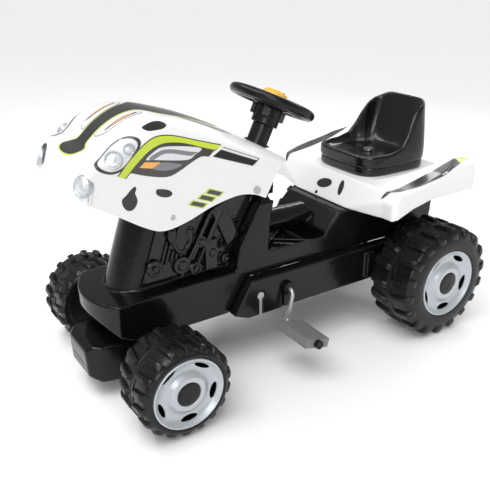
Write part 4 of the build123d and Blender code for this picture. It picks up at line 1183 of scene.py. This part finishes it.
for side, side_name in ((1, "left"), (-1, "right")):
    engine_relief(side, side_name)
rivets(hood_surface)
horn_cap()


# ================================================================ deck stickers
def deck_stickers():
    surface = surface_of(deck)
    shift = cad_shift_back

    def from_above(across, back):
        return (across * MM, (back + shift) * MM, 0.45), (0, 0, -1)

    def from_front_above(across, climb):
        """Climb is the distance up along the deck's sloping front, square to the cast."""
        start = Vector((across, 0.6 * climb - 400 + shift, 0.8 * climb + 300)) * MM
        return start, (0, 0.8, -0.6)

    patches = (("oval", (-8, 281), 19, 9.5, 0.25), ("leaf", (38, 284), 15, 6, 1.85), ("dot", (-16, 259), 3.8, 3.4, 0))
    for name, centre, radius_u, radius_v, turn in patches:
        sticker("deck_" + name, loop_of(centre, radius_u, radius_v, turn, 28), black_ink, "chassis", surface,
                from_front_above, 0.2)
    for side, side_name in ((1, "left"), (-1, "right")):
        swoosh = [(side * x, y) for x, y in ((138, 121), (145, 145), (143.5, 183), (143, 244), (146, 292), (158, 296),
                                             (167, 256), (170, 215), (168, 177), (156, 138))]
        sticker(f"deck_swoosh_{side_name}", smooth_outline(swoosh, 4), dark_ink, "chassis", surface, from_above, 0.15)
        inner = [(side * x, y) for x, y in ((146, 150), (147, 183), (147, 244), (150, 285), (156, 287), (162, 256),
                                            (165, 215), (163, 180), (154, 150))]
        sticker(f"deck_sheen_{side_name}", smooth_outline(inner, 4), black_ink, "chassis", surface, from_above, 0.28)
        tip = [(side * x, y) for x, y in ((146, 292), (158, 294), (155, 320), (147, 321))]
        sticker(f"deck_tip_{side_name}", tip, lime_ink, "chassis", surface, from_above, 0.28)


deck_stickers()


# ================================================================ floor, light and camera
def make_floor():
    side = 60.0
    mesh = mesh_from("floor", [(-side, -side, 0), (side, -side, 0), (side, side, 0), (-side, side, 0)], [(0, 1, 2, 3)])
    floor = new_piece("floor", mesh)
    floor.data.materials.append(floor_paper())


def area_light(name, place, target, size, power):
    light = bpy.data.lights.new(name, "AREA")
    light.shape = "RECTANGLE"
    light.size, light.size_y = size
    light.energy = power
    lamp = bpy.data.objects.new(name, light)
    lamp.location = place
    lamp.rotation_euler = (Vector(target) - Vector(place)).to_track_quat("-Z", "Y").to_euler()
    bpy.context.scene.collection.objects.link(lamp)


def sun_light(name, towards, power, spread):
    """Even light for the whole floor, with a wide, soft edge to its shadows."""
    light = bpy.data.lights.new(name, "SUN")
    light.energy = power
    light.angle = radians(spread)
    lamp = bpy.data.objects.new(name, light)
    lamp.rotation_euler = Vector(towards).to_track_quat("Z", "Y").to_euler()
    bpy.context.scene.collection.objects.link(lamp)


def make_world():
    world = bpy.data.worlds.new("studio")
    world.use_nodes = True
    background = world.node_tree.nodes["Background"]
    background.inputs["Color"].default_value = (1.0, 1.0, 1.0, 1.0)
    background.inputs["Strength"].default_value = 0.36
    bpy.context.scene.world = world
    bpy.context.scene.view_settings.view_transform = "Standard"


def make_camera():
    camera = bpy.data.cameras.new("camera")
    camera.lens = 50.0
    camera.sensor_width = 36.0
    body = bpy.data.objects.new("camera", camera)
    turn, pitch = radians(56.7), radians(23.37)
    back = Vector((sin(turn) * cos(pitch), -cos(turn) * cos(pitch), sin(pitch)))
    body.location = (0.944, -0.6891, 0.6706)
    body.rotation_euler = back.to_track_quat("Z", "Y").to_euler()
    bpy.context.scene.collection.objects.link(body)
    bpy.context.scene.camera = body


make_floor()
make_world()
sun_light("overhead", (0.25, -0.35, 1.0), 1.75, 50)
sun_light("front_fill", (1.0, -0.75, 0.55), 0.85, 30)
area_light("strip", (-0.5, -0.9, 1.7), (0, 0, 0.2), (1.8, 0.25), 12)
area_light("back_strip", (-0.6, 1.3, 1.3), (0, 0, 0.2), (1.6, 0.2), 10)
make_camera()

bpy.context.view_layer.update()
